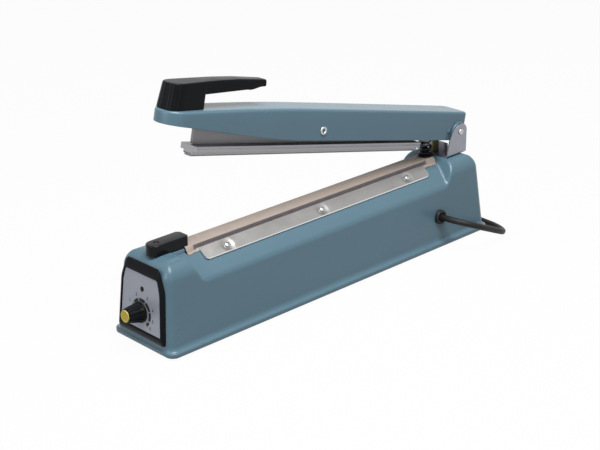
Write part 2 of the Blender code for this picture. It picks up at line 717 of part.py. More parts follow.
def make_panel(housing, base, finishes):
    panel = panel_axes(base)
    rings = []
    for outline, height in ((panel_outline(0, 0, 0), GAP), (panel_recess(-PANEL_RIM), GAP + PANEL_THICKNESS)):
        rings.append([(x, y, height) for x, y in outline])
    bezel = loft("panel_bezel", rings, finishes["black_plastic"], panel)
    recess_depth = PANEL_THICKNESS - PANEL_FLOOR
    cut(bezel, sheet("label_recess", [panel_recess(0)], 2 * recess_depth, parent=panel,
                     location=(0, 0, GAP + PANEL_THICKNESS)))
    knob_at = (0, KNOB_RISE)
    lamp_at = (LAMP_OFFSET, LAMP_RISE)
    for target in (bezel, housing):
        for label, at, radius in (("bush", knob_at, BUSH_RADIUS), ("lamp", lamp_at, LAMP_RADIUS)):
            hole = rod(f"{label}_hole_{target.name}", radius + HOLE_PLAY, -WALL - OVERRUN,
                       PANEL_THICKNESS + OVERRUN, parent=panel, location=(*at, 0))
            cut(target, hole)
    label_z = GAP + PANEL_FLOOR + GAP + LABEL_THICKNESS / 2
    holes = [circle(knob_at, BUSH_RADIUS + HOLE_PLAY), circle(lamp_at, LAMP_RADIUS + HOLE_PLAY)]
    sheet("panel_label", [panel_recess(LABEL_PLAY)] + holes, LABEL_THICKNESS,
          finishes["silver_label"], panel, location=(0, 0, label_z))
    face = label_z + LABEL_THICKNESS / 2
    dome = face + LAMP_PROUD
    turned("indicator_lamp",
           [(0, dome), (LAMP_RADIUS, face + LAMP_PROUD / 2), (LAMP_RADIUS, dome - LAMP_LENGTH),
            (0, dome - LAMP_LENGTH)], finishes["lamp_lens"], panel, location=(*lamp_at, 0))
    return panel, face


def knob_front():
    """Height of the knob's front above the wall, so that its cap reaches KNOB_REACH ahead of the lip."""
    ahead = KNOB_REACH + HALF_LENGTH - end_wall(PANEL_FOOT)
    rise = KNOB_RISE * math.sin(END_DRAFT) - KNOB_CAP_RADIUS * math.sin(END_DRAFT)
    return (ahead + rise) / math.cos(END_DRAFT)


def make_timer(panel, face, finishes):
    """Knob and cap that turn on the fixed shaft of a potentiometer, which stands on the timer board."""
    tip = knob_front()
    axis = empty("knob_axis", panel, (0, KNOB_RISE, 0))
    top = tip - KNOB_CAP_THICKNESS - GAP
    foot = face + KNOB_STANDOFF
    length = top - foot
    bm = bmesh.new()
    bmesh.ops.create_cone(bm, cap_ends=True, segments=2 * KNOB_FLUTES, radius1=KNOB_BASE_RADIUS,
                          radius2=KNOB_TIP_RADIUS, depth=length)
    for vert in bm.verts:
        turn = math.atan2(vert.co.y, vert.co.x) / (math.pi / KNOB_FLUTES)
        if round(turn) % 2:
            vert.co.x *= KNOB_FLUTE_SHARE
            vert.co.y *= KNOB_FLUTE_SHARE
    bmesh.ops.translate(bm, vec=(0, 0, (top + foot) / 2), verts=bm.verts)
    knob = place("timer_knob", mesh_from(bm, "timer_knob"), finishes["black_plastic"], axis)
    bore_top = foot + length * KNOB_BORE_SHARE
    cut(knob, rod("knob_bore", SHAFT_RADIUS + HOLE_PLAY, foot - OVERRUN, bore_top, parent=axis))
    cut(knob, rod("knob_spigot_hole", KNOB_CAP_SPIGOT_RADIUS + HOLE_PLAY, top - KNOB_CAP_SPIGOT_LENGTH - GAP,
                  top + OVERRUN, parent=axis))
    rim = KNOB_CAP_RADIUS - KNOB_CAP_THICKNESS / 2
    turned("knob_cap",
           [(0, tip), (rim, tip), (KNOB_CAP_RADIUS, tip - KNOB_CAP_THICKNESS / 2), (KNOB_CAP_RADIUS, top + GAP),
            (KNOB_CAP_SPIGOT_RADIUS, top + GAP), (KNOB_CAP_SPIGOT_RADIUS, top - KNOB_CAP_SPIGOT_LENGTH),
            (0, top - KNOB_CAP_SPIGOT_LENGTH)], finishes["yellow_plastic"], axis)
    back = -WALL - GAP
    turned("timer_pot",
           [(0, bore_top - GAP), (SHAFT_RADIUS, bore_top - GAP), (SHAFT_RADIUS, face), (BUSH_RADIUS, face),
            (BUSH_RADIUS, back), (POT_RADIUS, back), (POT_RADIUS, back - POT_DEPTH), (0, back - POT_DEPTH)],
           finishes["zinc_steel"], panel, location=(0, KNOB_RISE, 0))
    board_z = back - POT_DEPTH - GAP
    low = KNOB_RISE - BOARD_HEIGHT * BOARD_RISE_SHARE
    box("timer_board", (-BOARD_HALF_WIDTH, low, board_z - BOARD_THICKNESS),
        (BOARD_HALF_WIDTH, low + BOARD_HEIGHT, board_z), finishes["circuit_green"], panel)


def make_transformer(base, finishes):
    foot = 2 * GAP + PLATE_THICKNESS
    middle = foot + CORE_HEIGHT / 2
    half_length = CORE_LENGTH / 2
    half_depth = CORE_DEPTH / 2
    core = box("transformer_core", (-half_length, -half_depth, foot), (half_length, half_depth, foot + CORE_HEIGHT),
               finishes["core_steel"], base, location=(TRANSFORMER_PLACE, 0, 0))
    window_low = foot + CORE_YOKE
    window_high = foot + CORE_HEIGHT - CORE_YOKE
    for name, side in (("window_front", -1), ("window_rear", 1)):
        edges = sorted((side * CORE_LEG / 2, side * (half_length - CORE_YOKE)))
        cut(core, box(name, (edges[0], -half_depth - OVERRUN, window_low),
                      (edges[1], half_depth + OVERRUN, window_high), parent=base,
                      location=(TRANSFORMER_PLACE, 0, 0)))
    outer = half_length - CORE_YOKE - COIL_PLAY
    height = (window_high - window_low) / 2 - COIL_PLAY
    coil = box("transformer_coil", (-outer, -COIL_DEPTH / 2, middle - height), (outer, COIL_DEPTH / 2, middle + height),
               finishes["copper"], base, location=(TRANSFORMER_PLACE, 0, 0))
    leg = CORE_LEG / 2 + COIL_PLAY
    cut(coil, box("leg_space", (-leg, -half_depth - COIL_PLAY, middle - CORE_HEIGHT),
                  (leg, half_depth + COIL_PLAY, middle + CORE_HEIGHT), parent=base,
                  location=(TRANSFORMER_PLACE, 0, 0)))


def platform_levels():
    """Undersides of the platform, the insulation, the element and the cloth, going up."""
    insulation = ROOF_Z + PLATFORM_THICKNESS + GAP
    element = insulation + STRIP_THICKNESS + GAP
    cloth = element + ELEMENT_THICKNESS + GAP
    return ROOF_Z, insulation, element, cloth


def make_platform(base, finishes):
    platform_z, insulation_z, element_z, cloth_z = platform_levels()
    box("element_platform", (PLATFORM_FRONT, -PLATFORM_HALF_WIDTH, platform_z),
        (PLATFORM_REAR, PLATFORM_HALF_WIDTH, insulation_z - GAP), finishes["aluminium"], base)
    box("insulation_strip", (PLATFORM_FRONT, -STRIP_HALF_WIDTH, insulation_z),
        (PLATFORM_REAR, STRIP_HALF_WIDTH, element_z - GAP), finishes["beige_cloth"], base)
    front_low = PLATFORM_FRONT - GAP - TERMINAL_LENGTH
    rear_low = PLATFORM_REAR + GAP
    for name, low in (("element_clamp_front", front_low), ("element_clamp_rear", rear_low)):
        box(name, (low, -TERMINAL_HALF_WIDTH, platform_z), (low + TERMINAL_LENGTH, TERMINAL_HALF_WIDTH, element_z - GAP),
            finishes["brass"], base)
    front = front_low + GAP
    rear = rear_low + TERMINAL_LENGTH - GAP
    tab = ELEMENT_TAB_LENGTH
    lower = [(front, -ELEMENT_TAB_HALF_WIDTH), (front + tab, -ELEMENT_TAB_HALF_WIDTH),
             (front + tab, -ELEMENT_HALF_WIDTH), (rear - tab, -ELEMENT_HALF_WIDTH),
             (rear - tab, -ELEMENT_TAB_HALF_WIDTH), (rear, -ELEMENT_TAB_HALF_WIDTH)]
    sheet("heating_element", [lower + [(x, -y) for x, y in reversed(lower)]], ELEMENT_THICKNESS,
          finishes["bright_steel"], base, location=(0, 0, element_z + ELEMENT_THICKNESS / 2))
    make_cloth(cloth_z, base, finishes)


def make_cloth(cloth_z, base, finishes):
    """One folded strip: over the platform, down its sides and out over the shoulders."""
    inner = PLATFORM_HALF_WIDTH + GAP
    outer = inner + CLOTH_THICKNESS
    slope = math.tan(roof_angle())
    over = max(outer, RIDGE_HALF_WIDTH)
    edge_z = ROOF_Z - (CLOTH_HALF_WIDTH - RIDGE_HALF_WIDTH) * slope
    under = [(inner, cloth_z), (inner, ROOF_Z), (over, ROOF_Z), (CLOTH_HALF_WIDTH, edge_z)]
    above = [(CLOTH_HALF_WIDTH, edge_z + CLOTH_THICKNESS), (over, ROOF_Z + CLOTH_THICKNESS),
             (outer, ROOF_Z + CLOTH_THICKNESS), (outer, cloth_z + CLOTH_THICKNESS)]
    right = under + above
    section = right + [(-y, z) for y, z in reversed(right)]
    sheet("ptfe_cloth", [section], CLOTH_REAR - CLOTH_FRONT, finishes["beige_cloth"], base,
          location=((CLOTH_REAR + CLOTH_FRONT) / 2, 0, 0), rotation=(math.pi / 2, 0, math.pi / 2))


def clamp_axes(base, side):
    """A frame on a shoulder of the saddle, at the ridge's edge: +X back, +Z square out of the shoulder."""
    tilt = -side * roof_angle()
    name = "shoulder_near" if side < 0 else "shoulder_far"
    return empty(name, base, (0, side * RIDGE_HALF_WIDTH, RIDGE_HEIGHT), (tilt, 0, 0))


def slotted_screw(name, radius, head, head_height, length, seat, parent, finishes, location):
    """Domed screw with its head on a seat; the slot is cut into the head."""
    crown = seat + head_height
    profile = [(0, crown), (head * 0.6, crown - head_height * 0.2), (head, seat + head_height * 0.35),
               (head, seat), (radius, seat), (radius, seat - length), (0, seat - length)]
    screw = turned(name, profile, finishes["bright_steel"], parent, location)
    slot = box(name + " slot", (-head - OVERRUN, -SLOT_WIDTH / 2, crown - SLOT_DEPTH),
               (head + OVERRUN, SLOT_WIDTH / 2, crown + OVERRUN), parent=parent, location=location,
               rotation=(0, 0, math.radians(35)))
    cut(screw, slot)
    return screw


def make_clamps(housing, base, finishes):
    along_slope = 1 / math.cos(roof_angle())
    top = (CLAMP_TOP_HALF_WIDTH - RIDGE_HALF_WIDTH) * along_slope
    foot = (CLAMP_FOOT_HALF_WIDTH - RIDGE_HALF_WIDTH) * along_slope
    line = (CLAMP_SCREW_HALF_WIDTH - RIDGE_HALF_WIDTH) * along_slope
    seat = 2 * GAP + CLOTH_THICKNESS
    middle = (CLAMP_FRONT + CLAMP_REAR) / 2
    number = 0
    for side, name in ((-1, "near"), (1, "far")):
        shoulder = clamp_axes(base, side)
        lower_front = arc((CLAMP_FRONT + CLAMP_CORNER, foot - CLAMP_CORNER), CLAMP_CORNER,
                          math.pi, math.pi / 2, 3)
        lower_rear = arc((CLAMP_REAR - CLAMP_CORNER, foot - CLAMP_CORNER), CLAMP_CORNER, math.pi / 2, 0, 3)
        outline = [(CLAMP_FRONT, top)] + lower_front + lower_rear + [(CLAMP_REAR, top)]
        places = [CLAMP_FRONT + CLAMP_SCREW_INSET, middle, CLAMP_REAR - CLAMP_SCREW_INSET]
        holes = [circle((x, line), CLAMP_SCREW_RADIUS + HOLE_PLAY) for x in places]
        mirrored = [[(x, side * y) for x, y in loop] for loop in [outline] + holes]
        sheet(f"clamp_plate_{name}", mirrored, CLAMP_THICKNESS, finishes["bright_steel"], shoulder,
              location=(0, 0, seat + CLAMP_THICKNESS / 2))
        for x in places:
            number += 1
            at = (x, side * line, 0)
            slotted_screw(f"clamp_screw_{number}", CLAMP_SCREW_RADIUS, CLAMP_SCREW_HEAD, CLAMP_SCREW_HEAD_HEIGHT,
                          CLAMP_SCREW_LENGTH, seat + CLAMP_THICKNESS + GAP, shoulder, finishes, at)
            cut(housing, rod(f"clamp_hole_{number}", CLAMP_SCREW_RADIUS + HOLE_PLAY,
                             -WALL - OVERRUN, OVERRUN, parent=shoulder, location=at))


def cover_ring(inset, height):
    """Plan of the end cover: round front end, cut corners at the back."""
    half = COVER_HALF_WIDTH - inset
    rear = COVER_REAR - inset
    chamfer = COVER_HALF_WIDTH / 3
    nose = arc((COVER_FRONT + COVER_HALF_WIDTH, 0), half, math.pi / 2, 3 * math.pi / 2, 8)
    tail = [(rear - chamfer, -half), (rear, chamfer - half), (rear, half - chamfer), (rear - chamfer, half)]
    return [(x, y, height) for x, y in nose + tail]


def make_end_cover(housing, base, finishes):
    """Black moulding over the element's front clamp, hollow at the back."""
    top = HUMP_Z + COVER_HEIGHT
    soft = COVER_BEVEL * (1 - math.cos(math.pi / 4))
    rings = [cover_ring(0, HUMP_Z), cover_ring(0, top - COVER_BEVEL), cover_ring(soft, top - soft),
             cover_ring(COVER_BEVEL, top)]
    cover = loft("end_cover", rings, finishes["black_plastic"], base)
    inner = COVER_HALF_WIDTH - COVER_WALL
    cut(cover, box("cover_hollow", (COVER_FRONT + COVER_SOLID_LENGTH, -inner, HUMP_Z - OVERRUN),
                   (COVER_REAR - COVER_WALL, inner, top - COVER_WALL), parent=base))
    cloth_top = platform_levels()[3] + CLOTH_THICKNESS
    cut(cover, box("cover_doorway", (PLATFORM_FRONT - 2 * GAP, -COVER_HALF_WIDTH - OVERRUN, HUMP_Z - OVERRUN),
                   (COVER_REAR + OVERRUN, COVER_HALF_WIDTH + OVERRUN, cloth_top + GAP), parent=base))
    at = (COVER_SCREW_PLACE, 0, 0)
    recess = top - COVER_SCREW_RECESS
    cut(cover, rod("cover_recess", COVER_SCREW_HEAD + HOLE_PLAY, recess, top + OVERRUN, parent=base, location=at))
    length = COVER_HEIGHT - COVER_SCREW_RECESS + WALL + GAP
    for target in (cover, housing):
        cut(target, rod("cover_screw_hole_" + target.name, COVER_SCREW_RADIUS + HOLE_PLAY,
                        recess - length - OVERRUN, recess + OVERRUN, parent=base, location=at))
    slotted_screw("end_cover_screw", COVER_SCREW_RADIUS, COVER_SCREW_HEAD, COVER_SCREW_HEAD_HEIGHT, length,
                  recess + GAP, base, finishes, at)


def ear_outline():
    """Side view of a bracket ear: sloping front edge, rounded top about the pin."""
    foot = BRACKET_REAR - BRACKET_FRONT
    rise = PIN_HEIGHT - HUMP_Z
    front = [(BRACKET_FRONT + foot * along, HUMP_Z + rise * up) for along, up in EAR_FRONT_SHARES]
    crown = arc((PIN_PLACE, PIN_HEIGHT), EAR_RADIUS, math.radians(130), math.radians(-12), EAR_STEPS)
    return front + crown + [(BRACKET_REAR, HUMP_Z)]


def make_hinge(housing, base, finishes):
    bracket = box("hinge_bracket", (BRACKET_FRONT, -BRACKET_HALF_WIDTH, HUMP_Z),
                  (BRACKET_REAR, BRACKET_HALF_WIDTH, HUMP_Z + BRACKET_THICKNESS), finishes["zinc_steel"], base)
    for side, name in ((-1, "near"), (1, "far")):
        across = side * (BRACKET_HALF_WIDTH - BRACKET_THICKNESS / 2)
        join(bracket, sheet(f"ear_{name}", [ear_outline()], BRACKET_THICKNESS, parent=base,
                            location=(0, across, 0), rotation=(math.pi / 2, 0, 0)))
    join(bracket, box("stop_tab", (TAB_FRONT, -TAB_HALF_WIDTH, HUMP_Z),
                      (TAB_FRONT + TAB_THICKNESS, TAB_HALF_WIDTH, HUMP_Z + TAB_HEIGHT), parent=base))
    sideways = (math.pi / 2, 0, 0)
    pin_at = (PIN_PLACE, 0, PIN_HEIGHT)
    reach = BRACKET_HALF_WIDTH + OVERRUN
    cut(bracket, rod("bracket_pin_hole", PIN_RADIUS + HOLE_PLAY, -reach, reach, parent=base, location=pin_at,
                     rotation=sideways))
    slot_front, slot_rear = LINK_FRONT - LINK_SLOT_PLAY, LINK_REAR + LINK_SLOT_PLAY
    slot_side = LINK_THICKNESS / 2 + LINK_SLOT_PLAY
    for target in (bracket, housing):
        cut(target, box("link_slot_" + target.name, (slot_front, -slot_side, BASE_HEIGHT - WALL - OVERRUN),
                        (slot_rear, slot_side, HUMP_Z + BRACKET_THICKNESS + OVERRUN), parent=base))
    seat = HUMP_Z + BRACKET_THICKNESS + GAP
    for index, side in enumerate((-1, 1), 1):
        at = (BRACKET_SCREW_PLACE, side * BRACKET_SCREW_HALF_SPREAD, 0)
        for target in (bracket, housing):
            cut(target, rod(f"bracket_screw_hole_{index}_{target.name}", BRACKET_SCREW_RADIUS + HOLE_PLAY,
                            BASE_HEIGHT - WALL - OVERRUN, seat + OVERRUN, parent=base, location=at))
        turned(f"bracket_screw_{index}",
               [(0, seat + BRACKET_SCREW_HEAD_HEIGHT),
                (BRACKET_SCREW_HEAD * 0.6, seat + BRACKET_SCREW_HEAD_HEIGHT),
                (BRACKET_SCREW_HEAD, seat + BRACKET_SCREW_HEAD_HEIGHT / 3), (BRACKET_SCREW_HEAD, seat),
                (BRACKET_SCREW_RADIUS, seat), (BRACKET_SCREW_RADIUS, seat - BRACKET_SCREW_LENGTH),
                (0, seat - BRACKET_SCREW_LENGTH)], finishes["zinc_steel"], base, at)
    end = BRACKET_HALF_WIDTH + GAP
    turned("hinge_pin",
           [(0, end + PIN_HEAD_HEIGHT), (PIN_HEAD_RADIUS * 0.6, end + PIN_HEAD_HEIGHT),
            (PIN_HEAD_RADIUS, end + PIN_HEAD_HEIGHT / 3), (PIN_HEAD_RADIUS, end), (PIN_RADIUS, end),
            (PIN_RADIUS, -end), (PIN_HEAD_RADIUS, -end), (PIN_HEAD_RADIUS, -end - PIN_HEAD_HEIGHT / 3),
            (PIN_HEAD_RADIUS * 0.6, -end - PIN_HEAD_HEIGHT), (0, -end - PIN_HEAD_HEIGHT)],
           finishes["bright_steel"], base, pin_at, sideways)


def arm_top(ahead):
    return ARM_RISE * interpolate([(row[0], row[1]) for row in ARM_EDGE_SHARES], ahead / ARM_LENGTH)


def arm_underside(ahead):
    return -ARM_DROP * interpolate([(row[0], row[2]) for row in ARM_EDGE_SHARES], ahead / ARM_LENGTH)


def arm_plan(inset):
    """Stations along the arm with half its width there: rounded tail, straight sides, half-round nose."""
    half = ARM_HALF_WIDTH - inset
    tail_corner = ARM_TAIL_CORNER - inset
    stations = []
    for step in range(ARM_TAIL_STEPS + 1):
        turn = math.pi / 2 * step / ARM_TAIL_STEPS
        stations.append((inset - ARM_TAIL + tail_corner * (1 - math.cos(turn)),
                         half - tail_corner * (1 - math.sin(turn))))
    nose_start = ARM_LENGTH - ARM_NOSE_LENGTH
    middle = [row[0] * ARM_LENGTH for row in ARM_EDGE_SHARES]
    stations += [(ahead, half) for ahead in middle if stations[-1][0] + GAP < ahead < nose_start - GAP]
    for step in range(ARM_NOSE_STEPS + 1):
        turn = math.pi / 2 * step / (ARM_NOSE_STEPS + 0.3)
        stations.append((nose_start + (ARM_NOSE_LENGTH - inset) * math.sin(turn), half * math.cos(turn)))
    return stations


def make_arm(arm, finishes):
    rings = []
    for ahead, half in arm_plan(0):
        low, high = arm_underside(ahead), arm_top(ahead)
        edge = min(ARM_EDGE_RADIUS, half / 2)
        near = edge * (1 - math.sin(math.pi / 4))
        right = [(-ahead, half, low), (-ahead, half, high - edge), (-ahead, half - near, high - near),
                 (-ahead, half - edge, high)]
        rings.append(right + [(x, -y, z) for x, y, z in reversed(right)])
    shell = loft("arm_shell", rings, finishes["blue_enamel"], arm)
    hollow = []
    for ahead, half in arm_plan(ARM_WALL):
        low, high = arm_underside(ahead) - OVERRUN, arm_top(ahead) - ARM_WALL
        hollow.append([(-ahead, half, low), (-ahead, half, high), (-ahead, -half, high), (-ahead, -half, low)])
    cut(shell, loft("arm_hollow", hollow, parent=arm))
    sideways = (math.pi / 2, 0, 0)
    boss_low = ARM_HALF_WIDTH - ARM_WALL
    boss_high = ARM_HALF_WIDTH + HINGE_BOSS_HEIGHT
    join(shell, rod("hinge_boss_near", HINGE_BOSS_RADIUS, boss_low, boss_high, parent=arm, rotation=sideways))
    join(shell, rod("hinge_boss_far", HINGE_BOSS_RADIUS, -boss_high, -boss_low, parent=arm, rotation=sideways))
    reach = boss_high + OVERRUN
    for name, radius, at in (("arm_pin_hole", PIN_RADIUS, (0, 0, 0)),
                             ("arm_pivot_hole", PIVOT_RADIUS, (-PIVOT_AHEAD, 0, PIVOT_RISE)),
                             ("arm_link_hole", LINK_PIN_RADIUS, (-LINK_AHEAD, 0, 0))):
        cut(shell, rod(name, radius + HOLE_PLAY, -reach, reach, parent=arm, location=at, rotation=sideways))
    end = ARM_HALF_WIDTH + GAP
    turned("link_pin",
           [(0, end + PIVOT_HEAD_HEIGHT / 2), (LINK_PIN_RADIUS * 1.6, end + PIVOT_HEAD_HEIGHT / 2),
            (LINK_PIN_RADIUS * 1.6, end), (LINK_PIN_RADIUS, end), (LINK_PIN_RADIUS, -end),
            (LINK_PIN_RADIUS * 1.6, -end), (LINK_PIN_RADIUS * 1.6, -end - PIVOT_HEAD_HEIGHT / 2),
            (0, -end - PIVOT_HEAD_HEIGHT / 2)], finishes["zinc_steel"], arm, (-LINK_AHEAD, 0, 0), sideways, 12)
    turned("pivot_screw",
           [(0, end + PIVOT_HEAD_HEIGHT), (PIVOT_HEAD_RADIUS * 0.7, end + PIVOT_HEAD_HEIGHT),
            (PIVOT_HEAD_RADIUS, end + PIVOT_HEAD_HEIGHT / 3), (PIVOT_HEAD_RADIUS, end), (PIVOT_RADIUS, end),
            (PIVOT_RADIUS, -end), (PIVOT_HEAD_RADIUS * 0.9, -end), (PIVOT_HEAD_RADIUS * 0.9, -end - PIVOT_NUT_HEIGHT),
            (0, -end - PIVOT_NUT_HEIGHT)], finishes["bright_steel"], arm, (-PIVOT_AHEAD, 0, PIVOT_RISE), sideways)
    make_handle(shell, arm, finishes)


def handle_stations():
    """Stations from the lever's tip to the front: ahead, top, underside and half-width."""
    reach = HANDLE_FRONT - HANDLE_TIP
    stations = []
    spread = HANDLE_NECK_HALF_WIDTH - HANDLE_TIP_HALF_WIDTH
    for along, top, depth, wide in HANDLE_LEVER_SHARES:
        stations.append((HANDLE_TIP + reach * along, HANDLE_TOP_RISE * top,
                         HANDLE_TOP_RISE - HANDLE_LEVER_DEPTH * (depth + 1 - top) - HANDLE_LEVER_DEPTH * 0.2 * along,
                         HANDLE_TIP_HALF_WIDTH + spread * wide))
    spread = HANDLE_HALF_WIDTH - HANDLE_NECK_HALF_WIDTH
    for along, top, wide in HANDLE_BLOCK_SHARES:
        ahead = HANDLE_TIP + reach * along
        stations.append((ahead, HANDLE_TOP_RISE * top, arm_top(ahead) + GAP, HANDLE_NECK_HALF_WIDTH + spread * wide))
    nose = HANDLE_FRONT - HANDLE_NOSE_LENGTH
    for step in range(1, HANDLE_NOSE_STEPS + 1):
        turn = math.pi / 2 * step / (HANDLE_NOSE_STEPS + 0.4)
        ahead = nose + HANDLE_NOSE_LENGTH * math.sin(turn)
        fall = HANDLE_NOSE_RISE_SHARE * (1 - (1 - math.cos(turn)) * 0.35)
        stations.append((ahead, HANDLE_TOP_RISE * fall, arm_top(ahead) + GAP, HANDLE_HALF_WIDTH * math.cos(turn)))
    return stations


def make_handle(shell, arm, finishes):
    rings = []
    for ahead, high, low, half in handle_stations():
        edge = min(HANDLE_CORNER, half / 2)
        right = [(-ahead, half, low), (-ahead, half, high - edge), (-ahead, half - edge, high)]
        rings.append(right + [(x, -y, z) for x, y, z in reversed(right)])
    handle = loft("handle", rings, finishes["black_plastic"], arm)
    for index, share in enumerate(HANDLE_SCREW_PLACE_SHARES, 1):
        ahead = share * ARM_LENGTH
        at = (-ahead, 0, 0)
        seat = arm_top(ahead) - ARM_WALL - 2 * GAP
        tip = seat + ARM_WALL + HANDLE_SCREW_BITE
        for target in (shell, handle):
            cut(target, rod(f"handle_screw_hole_{index}_{target.name}", HANDLE_SCREW_RADIUS + HOLE_PLAY,
                            seat - OVERRUN, tip + GAP, parent=arm, location=at))
        turned(f"handle_screw_{index}",
               [(0, tip), (HANDLE_SCREW_RADIUS, tip), (HANDLE_SCREW_RADIUS, seat), (HANDLE_SCREW_HEAD, seat),
                (HANDLE_SCREW_HEAD, seat - HANDLE_SCREW_HEAD_HEIGHT / 2),
                (HANDLE_SCREW_HEAD * 0.6, seat - HANDLE_SCREW_HEAD_HEIGHT), (0, seat - HANDLE_SCREW_HEAD_HEIGHT)],
               finishes["zinc_steel"], arm, at, steps=12)


def make_beam(arm, finishes):
    """Plate on edge that rocks on the mid pivot and carries the press bar with its silicone strip."""
    pivot = empty("beam_axis", arm, (-PIVOT_AHEAD, 0, PIVOT_RISE))
    front, rear = PIVOT_AHEAD - BEAM_FRONT, PIVOT_AHEAD - BEAM_REAR
    top = BEAM_TOP_RISE - PIVOT_RISE
    foot = GAP - BAR_TOP_DROP - PIVOT_RISE
    corner = arc((front + BEAM_CORNER, foot + BEAM_CORNER), BEAM_CORNER, math.pi, 3 * math.pi / 2, CORNER_STEPS)
    outline = [(front, top)] + corner + [(rear, foot), (rear, top)]
    sideways = (math.pi / 2, 0, 0)
    beam = sheet("pressure_beam", [outline], 2 * BEAM_HALF_THICKNESS, finishes["aluminium"], pivot,
                 rotation=sideways)
    hub = ARM_HALF_WIDTH - ARM_WALL - GAP
    join(beam, rod("beam_hub", BEAM_HUB_RADIUS, -hub, hub, parent=pivot, rotation=sideways))
    reach = hub + OVERRUN
    cut(beam, rod("beam_pivot_hole", PIVOT_RADIUS + HOLE_PLAY, -reach, reach, parent=pivot, rotation=sideways))
    bar_top = -BAR_TOP_DROP - PIVOT_RISE
    flange_foot = bar_top - BAR_FLANGE_HEIGHT
    bar_foot = bar_top - BAR_HEIGHT
    right = [(BAR_FLANGE_HALF_WIDTH, bar_top), (BAR_FLANGE_HALF_WIDTH, flange_foot), (BAR_HALF_WIDTH, flange_foot),
             (BAR_HALF_WIDTH, bar_foot), (GROOVE_HALF_WIDTH, bar_foot), (GROOVE_HALF_WIDTH, bar_foot + GROOVE_DEPTH)]
    section = right + [(-y, z) for y, z in reversed(right)]
    length = BAR_FRONT - BAR_REAR
    middle = PIVOT_AHEAD - (BAR_FRONT + BAR_REAR) / 2
    sheet("press_bar", [section], length, finishes["aluminium"], pivot, location=(middle, 0, 0),
          rotation=(math.pi / 2, 0, math.pi / 2))
    cloth_top = platform_levels()[3] + CLOTH_THICKNESS
    strip_foot = cloth_top + GAP - PIN_HEIGHT - PIVOT_RISE
    box("silicone_strip", (middle - length / 2 + GAP, -SILICONE_HALF_WIDTH, strip_foot),
        (middle + length / 2 - GAP, SILICONE_HALF_WIDTH, bar_foot + GROOVE_DEPTH - GAP),
        finishes["silicone"], pivot)


def make_switch(housing, base, finishes):
    """Link that the arm pushes down through the hump, the lever that it meets and the microswitch."""
    drop = LINK_AHEAD * math.sin(REST_OPENING)
    pin_z = PIN_HEIGHT + drop
    pin_x = PIN_PLACE - LINK_AHEAD * math.cos(REST_OPENING)
    width = LINK_WIDTH
    head = pin_z + LINK_HEAD_RISE
    outline = [(LINK_FRONT, head), (LINK_FRONT, LINK_FOOT + width / 4), (LINK_FRONT + width / 4, LINK_FOOT),
               (LINK_REAR - width / 4, LINK_FOOT), (LINK_REAR, LINK_FOOT + width / 4), (LINK_REAR, head)]
    hole = circle((pin_x, pin_z), LINK_PIN_RADIUS + LINK_HOLE_PLAY, 12)
    sheet("switch_link", [outline, hole], LINK_THICKNESS, finishes["yellow_zinc"], base,
          rotation=(math.pi / 2, 0, 0))
    contact = (LINK_FRONT + LINK_REAR) / 2 - LEVER_PIVOT_PLACE
    lift = LEVER_THICKNESS / 2 / math.cos(LEVER_LIFT)
    pivot_z = LINK_FOOT - GAP - lift - (contact + width / 4) * math.tan(LEVER_LIFT)
    pivot = empty("lever_axis", base, (LEVER_PIVOT_PLACE, 0, pivot_z), (0, -LEVER_LIFT, 0))
    lever = box("switch_lever", (0, -LEVER_HALF_WIDTH, -LEVER_THICKNESS / 2),
                (LEVER_LENGTH, LEVER_HALF_WIDTH, LEVER_THICKNESS / 2), finishes["bright_steel"], pivot)
    join(lever, rod("lever_hub", LEVER_HUB_RADIUS, -LEVER_HALF_WIDTH, LEVER_HALF_WIDTH, parent=pivot,
                    rotation=(math.pi / 2, 0, 0), steps=12))
    make_microswitch(pivot_z, base, finishes)


def make_microswitch(pivot_z, base, finishes):
    """Switch body below the lever, held to a plate that hangs from the hump's roof."""
    top = pivot_z - LEVER_HUB_RADIUS - GAP
    front = LEVER_PIVOT_PLACE - LEVER_HUB_RADIUS - SWITCH_EAR_LENGTH
    body = box("microswitch", (front, -SWITCH_HALF_WIDTH, top - SWITCH_HEIGHT),
               (front + SWITCH_LENGTH, SWITCH_HALF_WIDTH, top), finishes["soft_black"], base)
    cheek = box("switch_cheek", (front, LEVER_HALF_WIDTH + GAP, top - SWITCH_EAR_HEIGHT),
                (front + SWITCH_EAR_LENGTH + 2 * LEVER_HUB_RADIUS, SWITCH_HALF_WIDTH, top + SWITCH_EAR_HEIGHT),
                parent=base)
    join(body, cheek)
    inner = SWITCH_HALF_WIDTH + GAP
    outer = inner + SWITCH_BRACKET_THICKNESS
    roof = BASE_HEIGHT - WALL - GAP
    neck = saddle_end(SADDLE_REAR, 1, BASE_HEIGHT) + WALL / math.cos(SADDLE_LEAN) + OVERRUN / 2
    low = top - SWITCH_HEIGHT
    shoulder = RIDGE_HEIGHT - WALL - OVERRUN
    outline = [(SWITCH_BRACKET_FRONT, low), (SWITCH_BRACKET_REAR, low), (SWITCH_BRACKET_REAR, roof),
               (neck, roof), (neck, shoulder), (SWITCH_BRACKET_FRONT, top)]
    bracket = sheet("switch_bracket", [outline], SWITCH_BRACKET_THICKNESS, finishes["zinc_steel"], base,
                    location=(0, (inner + outer) / 2, 0), rotation=(math.pi / 2, 0, 0))
    flange_front = BRACKET_SCREW_PLACE - 2 * BRACKET_SCREW_HEAD
    join(bracket, box("bracket_flange", (flange_front, inner, roof - SWITCH_BRACKET_THICKNESS),
                      (SWITCH_BRACKET_REAR, BRACKET_SCREW_HALF_SPREAD + BRACKET_SCREW_HEAD, roof), parent=base))
    cut(bracket, rod("flange_hole", BRACKET_SCREW_RADIUS + HOLE_PLAY, roof - OVERRUN, roof + OVERRUN, parent=base,
                     location=(BRACKET_SCREW_PLACE, BRACKET_SCREW_HALF_SPREAD, 0)))


